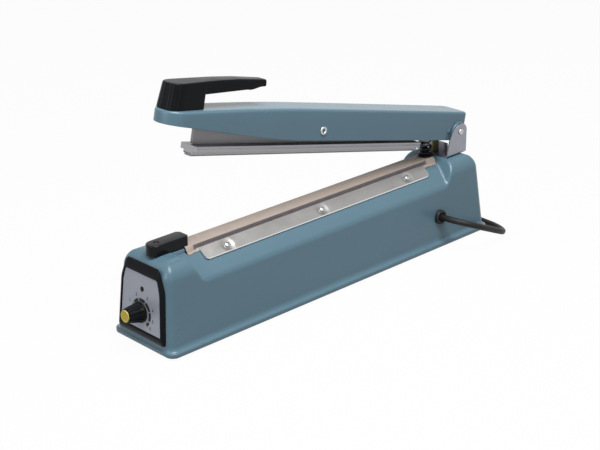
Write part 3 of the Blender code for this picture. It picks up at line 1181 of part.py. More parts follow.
def spring_height(foot):
    """Free length from its foot to the underside of the arm's top, where the open arm is lowest over it."""
    edge = SPRING_PLACE + SPRING_RADIUS + SPRING_WIRE / 2
    roof = arm_top(PIN_PLACE - edge) - ARM_WALL
    ahead = (PIN_PLACE + roof * math.sin(REST_OPENING) - edge) / math.cos(REST_OPENING)
    return PIN_HEIGHT + ahead * math.sin(REST_OPENING) + roof * math.cos(REST_OPENING) - 2 * GAP - foot


def spring_points(height):
    """One unbroken wire: a straight start, the turns at a steady rise, a straight end."""
    points = [Vector((SPRING_RADIUS, 0, 0))]
    rise = height - 2 * SPRING_WIRE
    count = SPRING_TURNS * SPRING_POINTS
    for index in range(count + 1):
        turn = 2 * math.pi * index / SPRING_POINTS
        points.append(Vector((SPRING_RADIUS * math.cos(turn), SPRING_RADIUS * math.sin(turn),
                              SPRING_WIRE + rise * index / count)))
    points.append(points[-1] + Vector((0, 0, SPRING_WIRE)))
    return points


def least_self_gap(points, diameter, turn_points):
    """Least clear distance between turns, measured on the wire's centre points."""
    least = math.inf
    for index, point in enumerate(points):
        for other in points[index + turn_points // 2 + 1:]:
            least = min(least, (other - point).length - diameter)
    return least


def tube(name, points, diameter, resolution, material, parent=None, location=(0, 0, 0)):
    """A round wire or cord through the points, closed at both ends."""
    curve = bpy.data.curves.new(name, "CURVE")
    curve.dimensions = "3D"
    curve.fill_mode = "FULL"
    curve.bevel_depth = diameter / 2
    curve.bevel_resolution = resolution
    curve.use_fill_caps = True
    spline = curve.splines.new("POLY")
    spline.points.add(len(points) - 1)
    for target, point in zip(spline.points, points):
        target.co = (*point, 1)
    return as_mesh(place(name + " path", curve, material, parent, location), name, material)


def make_spring(base, finishes):
    seat_z = platform_levels()[3] + CLOTH_THICKNESS + GAP
    at = (SPRING_PLACE, 0, seat_z)
    top = SEAT_HEIGHT + SEAT_SPIGOT_HEIGHT
    turned("spring_seat",
           [(0, top), (SEAT_SPIGOT_RADIUS, top), (SEAT_SPIGOT_RADIUS, SEAT_HEIGHT), (SEAT_RADIUS, SEAT_HEIGHT),
            (SEAT_RADIUS, 0), (0, 0)], finishes["black_plastic"], base, at, steps=FINE_STEPS)
    foot = seat_z + SEAT_HEIGHT + GAP
    points = spring_points(spring_height(foot))
    print("return_spring least gap to itself, mm:",
          round(least_self_gap(points, SPRING_WIRE, SPRING_POINTS) / MILLIMETRE, 2))
    tube("return_spring", points, SPRING_WIRE, 1, finishes["bright_steel"], base,
         (SPRING_PLACE, 0, foot))


def make_gland(housing, base, finishes):
    """Round black bushing in the near side wall, square to the wall."""
    at = (GLAND_PLACE, -side_wall(GLAND_HEIGHT), GLAND_HEIGHT)
    outward = (math.pi / 2 - SIDE_DRAFT, 0, 0)
    front = GAP + GLAND_FLANGE_HEIGHT
    edge = GLAND_FLANGE_RADIUS - GLAND_FLANGE_HEIGHT / 3
    tail = -WALL - GLAND_TAIL_LENGTH
    turned("cord_gland",
           [(0, front), (edge, front), (GLAND_FLANGE_RADIUS, front - GLAND_FLANGE_HEIGHT / 3),
            (GLAND_FLANGE_RADIUS, GAP), (GLAND_BODY_RADIUS, GAP), (GLAND_BODY_RADIUS, -2 * WALL),
            (GLAND_TAIL_RADIUS, tail), (0, tail)], finishes["soft_black"], base, at, outward, FINE_STEPS)
    cut(housing, rod("gland_hole", GLAND_BODY_RADIUS + HOLE_PLAY, -WALL - OVERRUN, OVERRUN, parent=base,
                     location=at, rotation=outward, steps=FINE_STEPS))


def cord_start():
    """Where the cord leaves the gland, and its direction there, square to the gland's face."""
    outward = Vector((0, -math.cos(SIDE_DRAFT), math.sin(SIDE_DRAFT)))
    face = Vector((FRONT_X + GLAND_PLACE, -side_wall(GLAND_HEIGHT), FOOT_STANDOFF + GLAND_HEIGHT))
    return face + outward * (GAP + GLAND_FLANGE_HEIGHT + GAP), outward


def smooth_route(knots):
    """A smooth curve through the route's own points, then points along it at an even spacing."""
    knots = [2 * knots[0] - knots[1]] + knots + [2 * knots[-1] - knots[-2]]
    fine = []
    for before, start, end, after in zip(knots, knots[1:], knots[2:], knots[3:]):
        for step in range(CORD_CURVE_STEPS):
            t = step / CORD_CURVE_STEPS
            fine.append(0.5 * (2 * start + (end - before) * t + (2 * before - 5 * start + 4 * end - after) * t ** 2
                               + (3 * start - before - 3 * end + after) * t ** 3))
    fine.append(knots[-2])
    travel = [0.0]
    for first, second in zip(fine, fine[1:]):
        travel.append(travel[-1] + (second - first).length)
    count = max(2, round(travel[-1] / CORD_POINT_SPACING))
    points = []
    index = 0
    for step in range(count + 1):
        wanted = travel[-1] * step / count
        while index < len(fine) - 2 and travel[index + 1] < wanted:
            index += 1
        share = (wanted - travel[index]) / (travel[index + 1] - travel[index])
        points.append(fine[index].lerp(fine[index + 1], share))
    return points


def coil_points():
    """Turns that spiral in along the lower layer, climb in half a turn and spiral out on the upper one."""
    turns = COIL_TURNS_IN + COIL_CLIMB_TURNS + COIL_TURNS_OUT
    count = round(turns * COIL_POINTS)
    centre = Vector((COIL_CENTRE_X, COIL_CENTRE_Y, 0))
    points = [centre + Vector((COIL_RADIUS, -CORD_DIAMETER, BED_HEIGHT))]
    for index in range(count + 1):
        turn = turns * index / count
        climbed = min(max((turn - COIL_TURNS_IN) / COIL_CLIMB_TURNS, 0), 1)
        inward = min(turn, turns - turn)
        radius = COIL_RADIUS - COIL_PITCH * inward
        rise = (1 - math.cos(math.pi * climbed)) / 2
        angle = 2 * math.pi * turn
        points.append(centre + Vector((radius * math.cos(angle), radius * math.sin(angle),
                                       BED_HEIGHT + COIL_LAYER_PITCH * rise)))
    heading = coil_end_heading()
    points.append(points[-1] + heading * CORD_DIAMETER)
    return points


def coil_end_heading():
    angle = 2 * math.pi * (COIL_TURNS_IN + COIL_CLIMB_TURNS + COIL_TURNS_OUT)
    return Vector((-math.sin(angle), math.cos(angle), 0))


def path_length(points):
    return sum((second - first).length for first, second in zip(points, points[1:]))


def make_cord(finishes):
    """Free stretch from the gland to the floor and round the back, its coil, tie and two-blade plug."""
    start, outward = cord_start()
    knots = [start + outward * CORD_STRAIGHT] + [Vector((REAR_X + x, y, z)) for x, y, z in CORD_ROUTE]
    route = [start] + smooth_route(knots)
    tube("power_cord", route, CORD_DIAMETER, 2, finishes["soft_black"])
    turns = coil_points()
    tube("cord_coil", turns, CORD_DIAMETER, 1, finishes["soft_black"])
    print("cord_coil least gap to itself, mm:",
          round(least_self_gap(turns, CORD_DIAMETER, COIL_POINTS) / MILLIMETRE, 2))
    print("cord length, m:", round(path_length(route) + path_length(turns), 3))
    make_tie(finishes)
    make_plug(turns[-1], finishes)


def make_tie(finishes):
    """Flat band round all turns at one place, lying on the floor below them."""
    reach = CORD_DIAMETER / 2 + TIE_PLAY
    inner = COIL_RADIUS - COIL_PITCH * (COIL_TURNS_IN + COIL_CLIMB_TURNS / 2) - reach
    outer = COIL_RADIUS - COIL_PITCH * TIE_TURN_SHARE + reach
    top = LAID_HEIGHT + CORD_DIAMETER / 2 + TIE_PLAY
    hole = [(inner, TIE_THICKNESS), (outer, TIE_THICKNESS), (outer, top), (inner, top)]
    band = [(inner - TIE_THICKNESS, 0), (outer + TIE_THICKNESS, 0), (outer + TIE_THICKNESS, top + TIE_THICKNESS),
            (inner - TIE_THICKNESS, top + TIE_THICKNESS)]
    sheet("cord_tie", [band, hole], 2 * TIE_HALF_WIDTH, finishes["black_plastic"],
          location=(COIL_CENTRE_X, COIL_CENTRE_Y, 0),
          rotation=(math.pi / 2, 0, 2 * math.pi * TIE_TURN_SHARE))


def make_plug(cord_end, finishes):
    """Moulded plug that lies flat beside the coil: tapered tail, body and two blades in one piece."""
    heading = coil_end_heading()
    turn = math.atan2(heading.y, heading.x)
    axes = empty("plug_axis", None, cord_end + heading * GAP, (0, 0, turn))
    half_height = LAID_HEIGHT
    outline = [(PLUG_TAIL_LENGTH, -PLUG_HALF_WIDTH + PLUG_BEVEL), (PLUG_TAIL_LENGTH + PLUG_BEVEL, -PLUG_HALF_WIDTH),
               (PLUG_TAIL_LENGTH + PLUG_LENGTH, -PLUG_HALF_WIDTH)]
    outline += [(x, -y) for x, y in reversed(outline)]
    plug = sheet("plug", [outline], 2 * half_height, finishes["soft_black"], axes)
    bm = bmesh.new()
    tail_length = PLUG_TAIL_LENGTH + PLUG_BEVEL
    bmesh.ops.create_cone(bm, cap_ends=True, segments=ROUND_STEPS, radius1=CORD_DIAMETER / 2 + PLUG_TAIL_PLAY,
                          radius2=PLUG_TAIL_RADIUS, depth=tail_length)
    bmesh.ops.translate(bm, vec=(0, 0, tail_length / 2), verts=bm.verts)
    join(plug, place("plug_tail", mesh_from(bm, "plug_tail"), parent=axes, rotation=(0, math.pi / 2, 0)))
    face = PLUG_TAIL_LENGTH + PLUG_LENGTH
    for side, name in ((-1, "left"), (1, "right")):
        middle = side * BLADE_HALF_SPREAD
        join(plug, box(f"blade_{name}", (face - PLUG_BEVEL, middle - BLADE_THICKNESS / 2, -BLADE_WIDTH / 2),
                       (face + BLADE_LENGTH, middle + BLADE_THICKNESS / 2, BLADE_WIDTH / 2), parent=axes))


def main():
    clear_scene()
    finishes = make_finishes()
    base = empty("base_frame", None, (FRONT_X, 0, FOOT_STANDOFF))
    housing = make_housing(base, finishes)
    make_bottom(base, finishes)
    panel, face = make_panel(housing, base, finishes)
    make_timer(panel, face, finishes)
    make_transformer(base, finishes)
    make_platform(base, finishes)
    make_clamps(housing, base, finishes)
    make_end_cover(housing, base, finishes)
    make_hinge(housing, base, finishes)
    arm = empty("arm_axis", base, (PIN_PLACE, 0, PIN_HEIGHT), (0, REST_OPENING, 0))
    make_arm(arm, finishes)
    make_beam(arm, finishes)
    make_switch(housing, base, finishes)
    make_spring(base, finishes)
    make_gland(housing, base, finishes)
    make_cord(finishes)


main()
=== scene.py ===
# Heat sealer: a hand impulse sealer with a lifting arm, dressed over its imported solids.
# Metres, +Z up. Most pieces are worked out from the base's front lip edge and the lip's underside.
import math

import bmesh
import bpy
import numpy as np
from mathutils import Matrix, Vector


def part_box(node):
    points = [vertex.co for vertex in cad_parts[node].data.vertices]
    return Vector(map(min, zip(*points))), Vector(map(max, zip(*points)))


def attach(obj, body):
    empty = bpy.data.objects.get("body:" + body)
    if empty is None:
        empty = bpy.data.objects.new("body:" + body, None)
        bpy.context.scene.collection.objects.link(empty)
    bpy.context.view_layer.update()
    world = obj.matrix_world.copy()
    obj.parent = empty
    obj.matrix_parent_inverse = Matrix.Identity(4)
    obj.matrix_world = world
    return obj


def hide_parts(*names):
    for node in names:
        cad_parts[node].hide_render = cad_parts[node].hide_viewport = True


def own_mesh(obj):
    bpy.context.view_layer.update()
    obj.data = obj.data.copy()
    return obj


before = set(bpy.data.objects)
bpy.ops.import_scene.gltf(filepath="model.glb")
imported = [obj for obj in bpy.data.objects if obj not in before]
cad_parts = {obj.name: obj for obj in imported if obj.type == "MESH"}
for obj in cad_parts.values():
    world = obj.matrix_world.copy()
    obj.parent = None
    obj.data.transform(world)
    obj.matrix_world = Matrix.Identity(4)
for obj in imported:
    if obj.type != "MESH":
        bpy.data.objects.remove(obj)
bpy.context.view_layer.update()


# View: the camera where the photographer stood, a white sweep and soft lamps
# The lamps are one big soft box overhead and a weaker one from the left, as in a small product tent.
# Floor and surroundings show white to the camera and in reflections, and light the object at a plain level.
CAMERA_PLACE = (-0.88785, -0.94684, 0.59074)
CAMERA_YAW = math.radians(-42.84)
CAMERA_PITCH = math.radians(22.29)
CAMERA_ROLL = math.radians(-1.17)
CAMERA_LENS = 86.096
FLOOR_HALF = 5.0
FLOOR_GREY = 0.50
FLOOR_WHITE_SHARE = 0.96
SURROUND_LEVEL = 0.13
# Name, place, aim, size, power
LAMPS = (
    ("top_lamp", (-0.15, -0.42, 1.28), (0.0, 0.0, 0.1), 0.8, 29.0),
    ("left_lamp", (-1.50, 0.0, 0.75), (-0.1, 0.0, 0.1), 0.9, 8.5),
)


def feed(node, values):
    """Sets a node's inputs, each to a value or to another node's output."""
    for name, value in values:
        if isinstance(value, bpy.types.NodeSocket):
            node.id_data.links.new(value, node.inputs[name])
        else:
            node.inputs[name].default_value = value
    return node


def add(tree, kind, values=(), **settings):
    """A new node with its settings and inputs."""
    node = tree.nodes.new(kind)
    for key, value in settings.items():
        setattr(node, key, value)
    return feed(node, values)


def reckon(tree, operation, first, second=0.0):
    """The result of one sum."""
    return add(tree, "ShaderNodeMath", ((0, first), (1, second)), operation=operation).outputs[0]


def white_to_viewer(tree):
    """One where a ray comes straight from the camera, a reflection or glass, else nought."""
    path = add(tree, "ShaderNodeLightPath").outputs
    shiny = reckon(tree, "MAXIMUM", path["Is Glossy Ray"], path["Is Transmission Ray"])
    return reckon(tree, "MAXIMUM", shiny, path["Is Camera Ray"])


def in_scene(name, data):
    """A new object linked to the scene."""
    obj = bpy.data.objects.new(name, data)
    bpy.context.scene.collection.objects.link(obj)
    return obj


camera_data = bpy.data.cameras.new("camera")
camera_data.lens = CAMERA_LENS
camera = in_scene("camera", camera_data)
across = Vector((math.cos(CAMERA_YAW), math.sin(CAMERA_YAW), 0))
behind = Vector((math.sin(CAMERA_YAW) * math.cos(CAMERA_PITCH),
                 -math.cos(CAMERA_YAW) * math.cos(CAMERA_PITCH), math.sin(CAMERA_PITCH)))
above = behind.cross(across)
rolled = across * math.cos(CAMERA_ROLL) + above * math.sin(CAMERA_ROLL)
camera.matrix_world = (Matrix.Translation(CAMERA_PLACE)
                       @ Matrix((rolled, behind.cross(rolled), behind)).transposed().to_4x4())
bpy.context.scene.camera = camera
bpy.context.scene.view_settings.view_transform = "Standard"

world = bpy.data.worlds.new("surroundings")
bpy.context.scene.world = world
world.use_nodes = True
level = add(world.node_tree, "ShaderNodeMapRange",
            (("Value", white_to_viewer(world.node_tree)), ("To Min", SURROUND_LEVEL), ("To Max", 1.0)))
feed(world.node_tree.nodes["Background"],
     (("Color", (1, 1, 1, 1)), ("Strength", level.outputs["Result"])))

for name, place, aim, size, power in LAMPS:
    lamp_data = bpy.data.lights.new(name, "AREA")
    lamp_data.shape = "SQUARE"
    lamp_data.size = size
    lamp_data.energy = power
    lamp = in_scene(name, lamp_data)
    lamp.location = place
    lamp.rotation_euler = (Vector(aim) - Vector(place)).to_track_quat("-Z", "Y").to_euler()

floor_mesh = bpy.data.meshes.new("floor")
floor_corners = [(-1, -1), (1, -1), (1, 1), (-1, 1)]
floor_mesh.from_pydata([(x * FLOOR_HALF, y * FLOOR_HALF, 0) for x, y in floor_corners], [], [(0, 1, 2, 3)])
floor = in_scene("floor", floor_mesh)
sweep = bpy.data.materials.new("white_sweep")
sweep.use_nodes = True
tree = sweep.node_tree
paper = feed(tree.nodes["Principled BSDF"],
             (("Base Color", (FLOOR_GREY, FLOOR_GREY, FLOOR_GREY, 1)), ("Roughness", 0.9),
              ("Specular IOR Level", 0.0)))
glow = add(tree, "ShaderNodeEmission")
blend = add(tree, "ShaderNodeMixShader",
            (("Fac", reckon(tree, "MULTIPLY", white_to_viewer(tree), FLOOR_WHITE_SHARE)),
             (1, paper.outputs["BSDF"]), (2, glow.outputs["Emission"])))
feed(tree.nodes["Material Output"], (("Surface", blend.outputs["Shader"]),))
floor_mesh.materials.append(sweep)


# Mains cord: round PVC cord, its coil, gland, plug and tie
# It leaves a bushing in the near wall, hangs to the floor, runs round the back and lies in a two-layer coil.
# Black PVC sheath, 6.5 mm; the bushing and the moulded plug are the same soft black.
SEAT_GAP = 0.0003
CORD_DIAMETER = 0.0065
CORD_STRAIGHT = 0.006
CORD_POINT_SPACING = 0.006
CORD_CURVE_STEPS = 12
CORD_SIDES = 16
REAR_X = 0.22455
CORD_ROUTE = (
    (-0.07105, -0.0550, 0.0339), (-0.06765, -0.0625, 0.0329), (-0.06165, -0.0690, 0.0308),
    (-0.05475, -0.0728, 0.0281), (-0.04675, -0.0740, 0.0245), (-0.03675, -0.0740, 0.0201),
    (-0.02675, -0.0735, 0.0156), (-0.01675, -0.0723, 0.0111), (-0.00775, -0.0690, 0.007),
    (-0.00075, -0.0630, 0.0045), (0.00415, -0.0550, 0.0034), (0.00645, -0.0455, 0.0033),
    (0.00765, -0.0300, 0.0033), (0.00865, -0.0100, 0.0033), (0.00945, 0.0120, 0.0033),
    (0.00995, 0.0340, 0.0035), (0.01020, 0.0560, 0.0042), (0.01020, 0.0700, 0.00485),
    (0.01020, 0.0826, 0.00485),
)
COIL_CENTRE = Vector((0.19275, 0.0894, 0.0))
COIL_RADIUS = 0.042
COIL_PITCH = 0.0071
COIL_LAYER_PITCH = 0.0070
COIL_TURNS_IN = 1.9375
COIL_CLIMB_TURNS = 0.5
COIL_TURNS = 4.375
COIL_POINTS = 40
BED_HEIGHT = 0.00485
SIDE_DRAFT = math.radians(4.55)
GLAND_WALL = Vector((0.15205, -0.037321, 0.0336))
GLAND_OUTWARD = Vector((0, -math.cos(SIDE_DRAFT), math.sin(SIDE_DRAFT)))
GLAND_STAND = 0.0046
GLAND_FACE = GLAND_WALL + GLAND_OUTWARD * GLAND_STAND
GLAND_BODY_RADIUS = 0.0056
# Radius and height above the wall, from the tail inside to the face that the cord leaves
GLAND_PROFILE = (
    (0.0, -0.020), (0.0042, -0.020), (0.0056, -0.004), (0.0056, 0.0003), (0.0072, 0.0003), (0.0075, 0.0006),
    (0.0075, 0.0026), (0.0073, 0.0034), (0.0067, 0.0041), (0.0060, 0.0043), (0.0053, 0.0042),
    (0.0048, 0.0038), (0.0044, 0.0028), (0.0038, 0.0028), (0.0036, 0.0045), (0.0, 0.0045),
)


def finish(name, dark, light, rough, metallic=0.0, patch=60.0, grain=1200.0, depth=0.00002, stretch=(1, 1, 1),
           specular=0.5):
    """Soft patches between two tones over a fine grain, which stretch draws out along an axis."""
    material = bpy.data.materials.new(name)
    material.use_nodes = True
    tree = material.node_tree
    where = add(tree, "ShaderNodeTexCoord").outputs["Object"]
    drawn = add(tree, "ShaderNodeMapping", (("Vector", where), ("Scale", stretch))).outputs["Vector"]
    patches = add(tree, "ShaderNodeTexNoise", (("Vector", where), ("Scale", patch), ("Detail", 4)))
    patchy = patches.outputs["Fac"]
    tones = add(tree, "ShaderNodeMix", (("Factor", patchy), ("A", (*dark, 1)), ("B", (*light, 1))),
                data_type="RGBA")
    gloss = add(tree, "ShaderNodeMapRange", (("Value", patchy), ("To Min", rough[0]), ("To Max", rough[1])))
    fine = add(tree, "ShaderNodeTexNoise", (("Vector", drawn), ("Scale", grain), ("Detail", 3)))
    bump = add(tree, "ShaderNodeBump",
               (("Height", fine.outputs["Fac"]), ("Strength", 1.0), ("Distance", depth)))
    feed(tree.nodes["Principled BSDF"],
         (("Metallic", metallic), ("Specular IOR Level", specular), ("Base Color", tones.outputs["Result"]),
          ("Roughness", gloss.outputs["Result"]), ("Normal", bump.outputs["Normal"])))
    return material


def pattern(material, kind, scale, axis, depth):
    """Adds a regular bump of bands across one axis over the finish's own grain."""
    tree = material.node_tree
    shader = tree.nodes["Principled BSDF"]
    where = tree.nodes["Texture Coordinate"].outputs["Object"]
    bands = add(tree, "ShaderNodeTexWave", (("Vector", where), ("Scale", scale)), wave_type="BANDS",
                bands_direction=axis, wave_profile=kind)
    bump = add(tree, "ShaderNodeBump",
               (("Height", bands.outputs["Fac"]), ("Strength", 1.0), ("Distance", depth),
                ("Normal", shader.inputs["Normal"].links[0].from_socket)))
    feed(shader, (("Normal", bump.outputs["Normal"]),))


def cleaned_mesh(name, points, faces, at=Matrix()):
    """A mesh with its doubled points merged and its faces turned outward."""
    mesh = bpy.data.meshes.new(name)
    mesh.from_pydata([at @ Vector(point) for point in points], [], faces)
    bm = bmesh.new()
    bm.from_mesh(mesh)
    bmesh.ops.remove_doubles(bm, verts=bm.verts, dist=0.000002)
    bmesh.ops.dissolve_degenerate(bm, edges=bm.edges, dist=0.000002)
    bmesh.ops.recalc_face_normals(bm, faces=bm.faces)
    bm.to_mesh(mesh)
    bm.free()
    return mesh


def piece(name, points, faces, material, body, slot, nodes=(), at=Matrix(), sharp=40.0, bevel=0.0):
    """A closed mesh in its final place, riding a body and standing for its solids."""
    mesh = cleaned_mesh(name, points, faces, at)
    mesh.polygons.foreach_set("use_smooth", [True] * len(mesh.polygons))
    mesh.set_sharp_from_angle(angle=math.radians(sharp))
    mesh.materials.append(material)
    obj = in_scene(name, mesh)
    if bevel:
        softener = obj.modifiers.new("softened edges", "BEVEL")
        softener.width = bevel
        softener.segments = 2
        softener.limit_method = "ANGLE"
        softener.angle_limit = math.radians(35)
        softener.harden_normals = True
    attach(obj, body)
    if nodes:
        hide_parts(*nodes)
    return obj


def rings_to_mesh(rings, capped=True):
    """Points and faces of a skin over rings with equal numbers of points."""
    count = len(rings[0])
    points = [point for ring in rings for point in ring]
    faces = []
    for row in range(len(rings) - 1):
        for index in range(count):
            after = (index + 1) % count
            start, end = row * count, (row + 1) * count
            faces.append((start + index, start + after, end + after, end + index))
    if capped:
        faces.append(tuple(range(count)))
        faces.append(tuple(range(len(points) - count, len(points))))
    return points, faces


def tube_mesh(path, radius, sides):
    """A round bar along a path, its rings carried on without twist."""
    around = zip([path[0]] + path[:-1], path[1:] + [path[-1]])
    heading = [(after - before).normalized() for before, after in around]
    side = heading[0].orthogonal().normalized()
    rings = []
    for point, way in zip(path, heading):
        side = (side - way * side.dot(way)).normalized()
        other = way.cross(side)
        turns = [2 * math.pi * step / sides for step in range(sides)]
        rings.append([point + (side * math.cos(turn) + other * math.sin(turn)) * radius for turn in turns])
    return rings_to_mesh(rings)


def turned_mesh(profile, sides):
    """A turned piece about its own Z: (radius, height) from one end of the axis to the other."""
    turns = [2 * math.pi * step / sides for step in range(sides)]
    return rings_to_mesh([[(radius * math.cos(turn), radius * math.sin(turn), height) for turn in turns]
                          for radius, height in profile])


def frame_on(place, outward, upward=(0, 0, 1)):
    """A matrix at a place with its Z outward and its Y near the upward direction."""
    outward = Vector(outward).normalized()
    right = Vector(upward).cross(outward).normalized()
    return Matrix.Translation(place) @ Matrix((right, outward.cross(right), outward)).transposed().to_4x4()


def smooth_route(knots, spacing):
    """A smooth curve through the knots, then points along it at an even spacing."""
    knots = [2 * knots[0] - knots[1]] + knots + [2 * knots[-1] - knots[-2]]
    fine = []
    for before, start, end, after in zip(knots, knots[1:], knots[2:], knots[3:]):
        for step in range(CORD_CURVE_STEPS):
            part = step / CORD_CURVE_STEPS
            fine.append(0.5 * (2 * start + (end - before) * part
                               + (2 * before - 5 * start + 4 * end - after) * part ** 2
                               + (3 * start - before - 3 * end + after) * part ** 3))
    fine.append(knots[-2])
    travel = [0.0]
    for first, second in zip(fine, fine[1:]):
        travel.append(travel[-1] + (second - first).length)
    count = round(travel[-1] / spacing)
    points = []
    index = 0
    for step in range(count + 1):
        wanted = travel[-1] * step / count
        while index < len(fine) - 2 and travel[index + 1] < wanted:
            index += 1
        share = (wanted - travel[index]) / (travel[index + 1] - travel[index])
        points.append(fine[index].lerp(fine[index + 1], share))
    return points


soft_black = finish("soft_black", (0.0045, 0.0045, 0.0050), (0.0075, 0.0075, 0.0080), (0.42, 0.58),
                    grain=2400.0, depth=0.00003, specular=0.25)
black_plastic = finish("black_plastic", (0.0032, 0.0036, 0.0044), (0.0052, 0.0058, 0.0068), (0.26, 0.36),
                       grain=1800.0, depth=0.00001, specular=0.07)
piece("gland_bushing", *turned_mesh(GLAND_PROFILE, 40), soft_black, "base", "soft_black", ("cord_gland",),
      frame_on(GLAND_WALL, GLAND_OUTWARD))
knots = [GLAND_FACE + GLAND_OUTWARD * CORD_STRAIGHT] + [Vector((REAR_X + x, y, z)) for x, y, z in CORD_ROUTE]
cord_path = [GLAND_FACE] + smooth_route(knots, CORD_POINT_SPACING)
turn_count = round(COIL_TURNS * COIL_POINTS)
for index in range(turn_count + 1):
    turn = COIL_TURNS * index / turn_count
    climbed = min(max((turn - COIL_TURNS_IN) / COIL_CLIMB_TURNS, 0), 1)
    reach = COIL_RADIUS - COIL_PITCH * min(turn, COIL_TURNS - turn)
    rise = BED_HEIGHT + COIL_LAYER_PITCH * (1 - math.cos(math.pi * climbed)) / 2
    angle = 2 * math.pi * turn
    cord_path.append(COIL_CENTRE + Vector((reach * math.cos(angle), reach * math.sin(angle), rise)))
coil_heading = Vector((-math.sin(2 * math.pi * COIL_TURNS), math.cos(2 * math.pi * COIL_TURNS), 0))
cord_path.append(cord_path[-1] + coil_heading * CORD_DIAMETER)
cord = piece("mains_cord", *tube_mesh(cord_path, CORD_DIAMETER / 2, CORD_SIDES), soft_black, "base",
             "soft_black", ("power_cord", "cord_coil"))
# Along the plug, half width and half height
PLUG_SECTION = (
    (0.0000, 0.0036, 0.0036), (0.0030, 0.0044, 0.0044), (0.0250, 0.0058, 0.0056), (0.0295, 0.0085, 0.0078),
    (0.0320, 0.0112, 0.0100), (0.0350, 0.0120, 0.0111), (0.0560, 0.0120, 0.0113), (0.0615, 0.0118, 0.0111),
    (0.0628, 0.0110, 0.0103),
)
PLUG_SIDES = 24
PLUG_SQUARENESS = 0.55
plug_rings = []
for along, half_across, half_up in PLUG_SECTION:
    ring = []
    for step in range(PLUG_SIDES):
        turn = 2 * math.pi * step / PLUG_SIDES
        cos, sin = math.cos(turn), math.sin(turn)
        ring.append((along, half_across * math.copysign(abs(cos) ** PLUG_SQUARENESS, cos),
                     half_up * math.copysign(abs(sin) ** PLUG_SQUARENESS, sin)))
    plug_rings.append(ring)
plug_at = (Matrix.Translation(cord_path[-1] + coil_heading * SEAT_GAP)
           @ Matrix.Rotation(math.atan2(coil_heading.y, coil_heading.x), 4, "Z"))
plug = piece("plug_body", *rings_to_mesh(plug_rings), soft_black, "base", "soft_black", ("plug",),
             plug_at, 50)
BLADE_ROOT = 0.0618
BLADE_SPREAD = 0.00635
BLADE_HALF_THICKNESS = 0.00075
BLADE_OUTLINE = (
    (0, -0.00315), (0.016, -0.00315), (0.0178, -0.0016), (0.0178, 0.0016), (0.016, 0.00315), (0, 0.00315),
)
brass = finish("brass", (0.50, 0.36, 0.15), (0.60, 0.44, 0.20), (0.22, 0.34), 1.0, grain=900.0, depth=0.00001,
               stretch=(1, 1, 8))
for name, side in (("left", -1), ("right", 1)):
    rings = [[(x, side * BLADE_SPREAD + across, z) for x, z in BLADE_OUTLINE]
             for across in (-BLADE_HALF_THICKNESS, BLADE_HALF_THICKNESS)]
    piece(f"plug_blade_{name}", *rings_to_mesh(rings), brass, "base", "brass", (),
                        plug_at @ Matrix.Translation((BLADE_ROOT, 0, 0)), 25)
TIE_PLAY = 0.0006
TIE_THICKNESS = 0.001
TIE_BEND = 0.0022
TIE_TURN = 0.125
# Share of the band's half thickness outward, and half width there
TIE_LAYERS = ((-1.0, 0.0013), (0.8, 0.0015), (1.0, 0.0011))
tie_reach = CORD_DIAMETER / 2 + TIE_PLAY
tie_inner = COIL_RADIUS - COIL_PITCH * (COIL_TURNS_IN + COIL_CLIMB_TURNS / 2) - tie_reach - TIE_THICKNESS / 2
tie_outer = COIL_RADIUS - COIL_PITCH * TIE_TURN + tie_reach + TIE_THICKNESS / 2
tie_top = BED_HEIGHT + COIL_LAYER_PITCH + tie_reach + TIE_THICKNESS / 2
tie_section = []
tie_middle = ((tie_inner + tie_outer) / 2, (tie_top + TIE_THICKNESS / 2) / 2)
for corner_x, corner_z, start in ((tie_outer, tie_top, 0), (tie_inner, tie_top, 90),
                                  (tie_inner, TIE_THICKNESS / 2, 180), (tie_outer, TIE_THICKNESS / 2, 270)):
    for step in range(7):
        angle = math.radians(start + 15 * step)
        pull_x = math.copysign(TIE_BEND, tie_middle[0] - corner_x)
        pull_z = math.copysign(TIE_BEND, tie_middle[1] - corner_z)
        tie_section.append((corner_x + pull_x + TIE_BEND * math.cos(angle),
                            corner_z + pull_z + TIE_BEND * math.sin(angle)))
tie_rings = []
for index, (x, z) in enumerate(tie_section):
    after = tie_section[(index + 1) % len(tie_section)]
    before = tie_section[index - 1]
    way = Vector((after[0] - before[0], after[1] - before[1])).normalized()
    out_x, out_z = way.y * TIE_THICKNESS * 0.45, -way.x * TIE_THICKNESS * 0.45
    near = [(x + out_x * share, -half_width, z + out_z * share) for share, half_width in TIE_LAYERS]
    tie_rings.append(near + [(across, -along, height) for across, along, height in reversed(near)])
tie_points, tie_faces = rings_to_mesh(tie_rings + [tie_rings[0]], capped=False)
tie = piece("cord_tie_band", tie_points, tie_faces, black_plastic, "base", "black_plastic", ("cord_tie",),
            Matrix.Translation(COIL_CENTRE) @ Matrix.Rotation(2 * math.pi * TIE_TURN, 4, "Z"), 50)


# Housing: enamelled shell with a saddle between two humps
# Its skin is the zero line of a rounded signed distance, met along rays that start inside the shell.
# Steel with blue-grey enamel of slightly uneven gloss; its edges are softened by 2 to 3 mm.
LIP = Matrix.Translation((-0.20725, 0, 0.0025))
BASE_LENGTH = 0.4318
BASE_HALF_WIDTH = 0.04365
BASE_HEIGHT = 0.0833
LIP_HEIGHT = 0.0042
LIP_ROUND = 0.0006
FLARE_HEIGHT = 0.0058
SIDE_FLARE = 0.00465
END_FLARE = 0.0016
END_DRAFT = math.radians(5.3)
WALL = 0.002
WALL_CORNER = 0.008
SHOULDER_RADIUS = 0.015
RIDGE_HEIGHT = 0.079
RIDGE_HALF_WIDTH = 0.010
ROOF_EDGE_HEIGHT = 0.0603
SADDLE_FRONT = 0.0472
SADDLE_REAR = 0.374
SADDLE_LEAN = math.radians(29)
SADDLE_FILLET = 0.0028
SADDLE_EDGE = 0.0026
ROOF_EDGE_ROUND = 0.0016
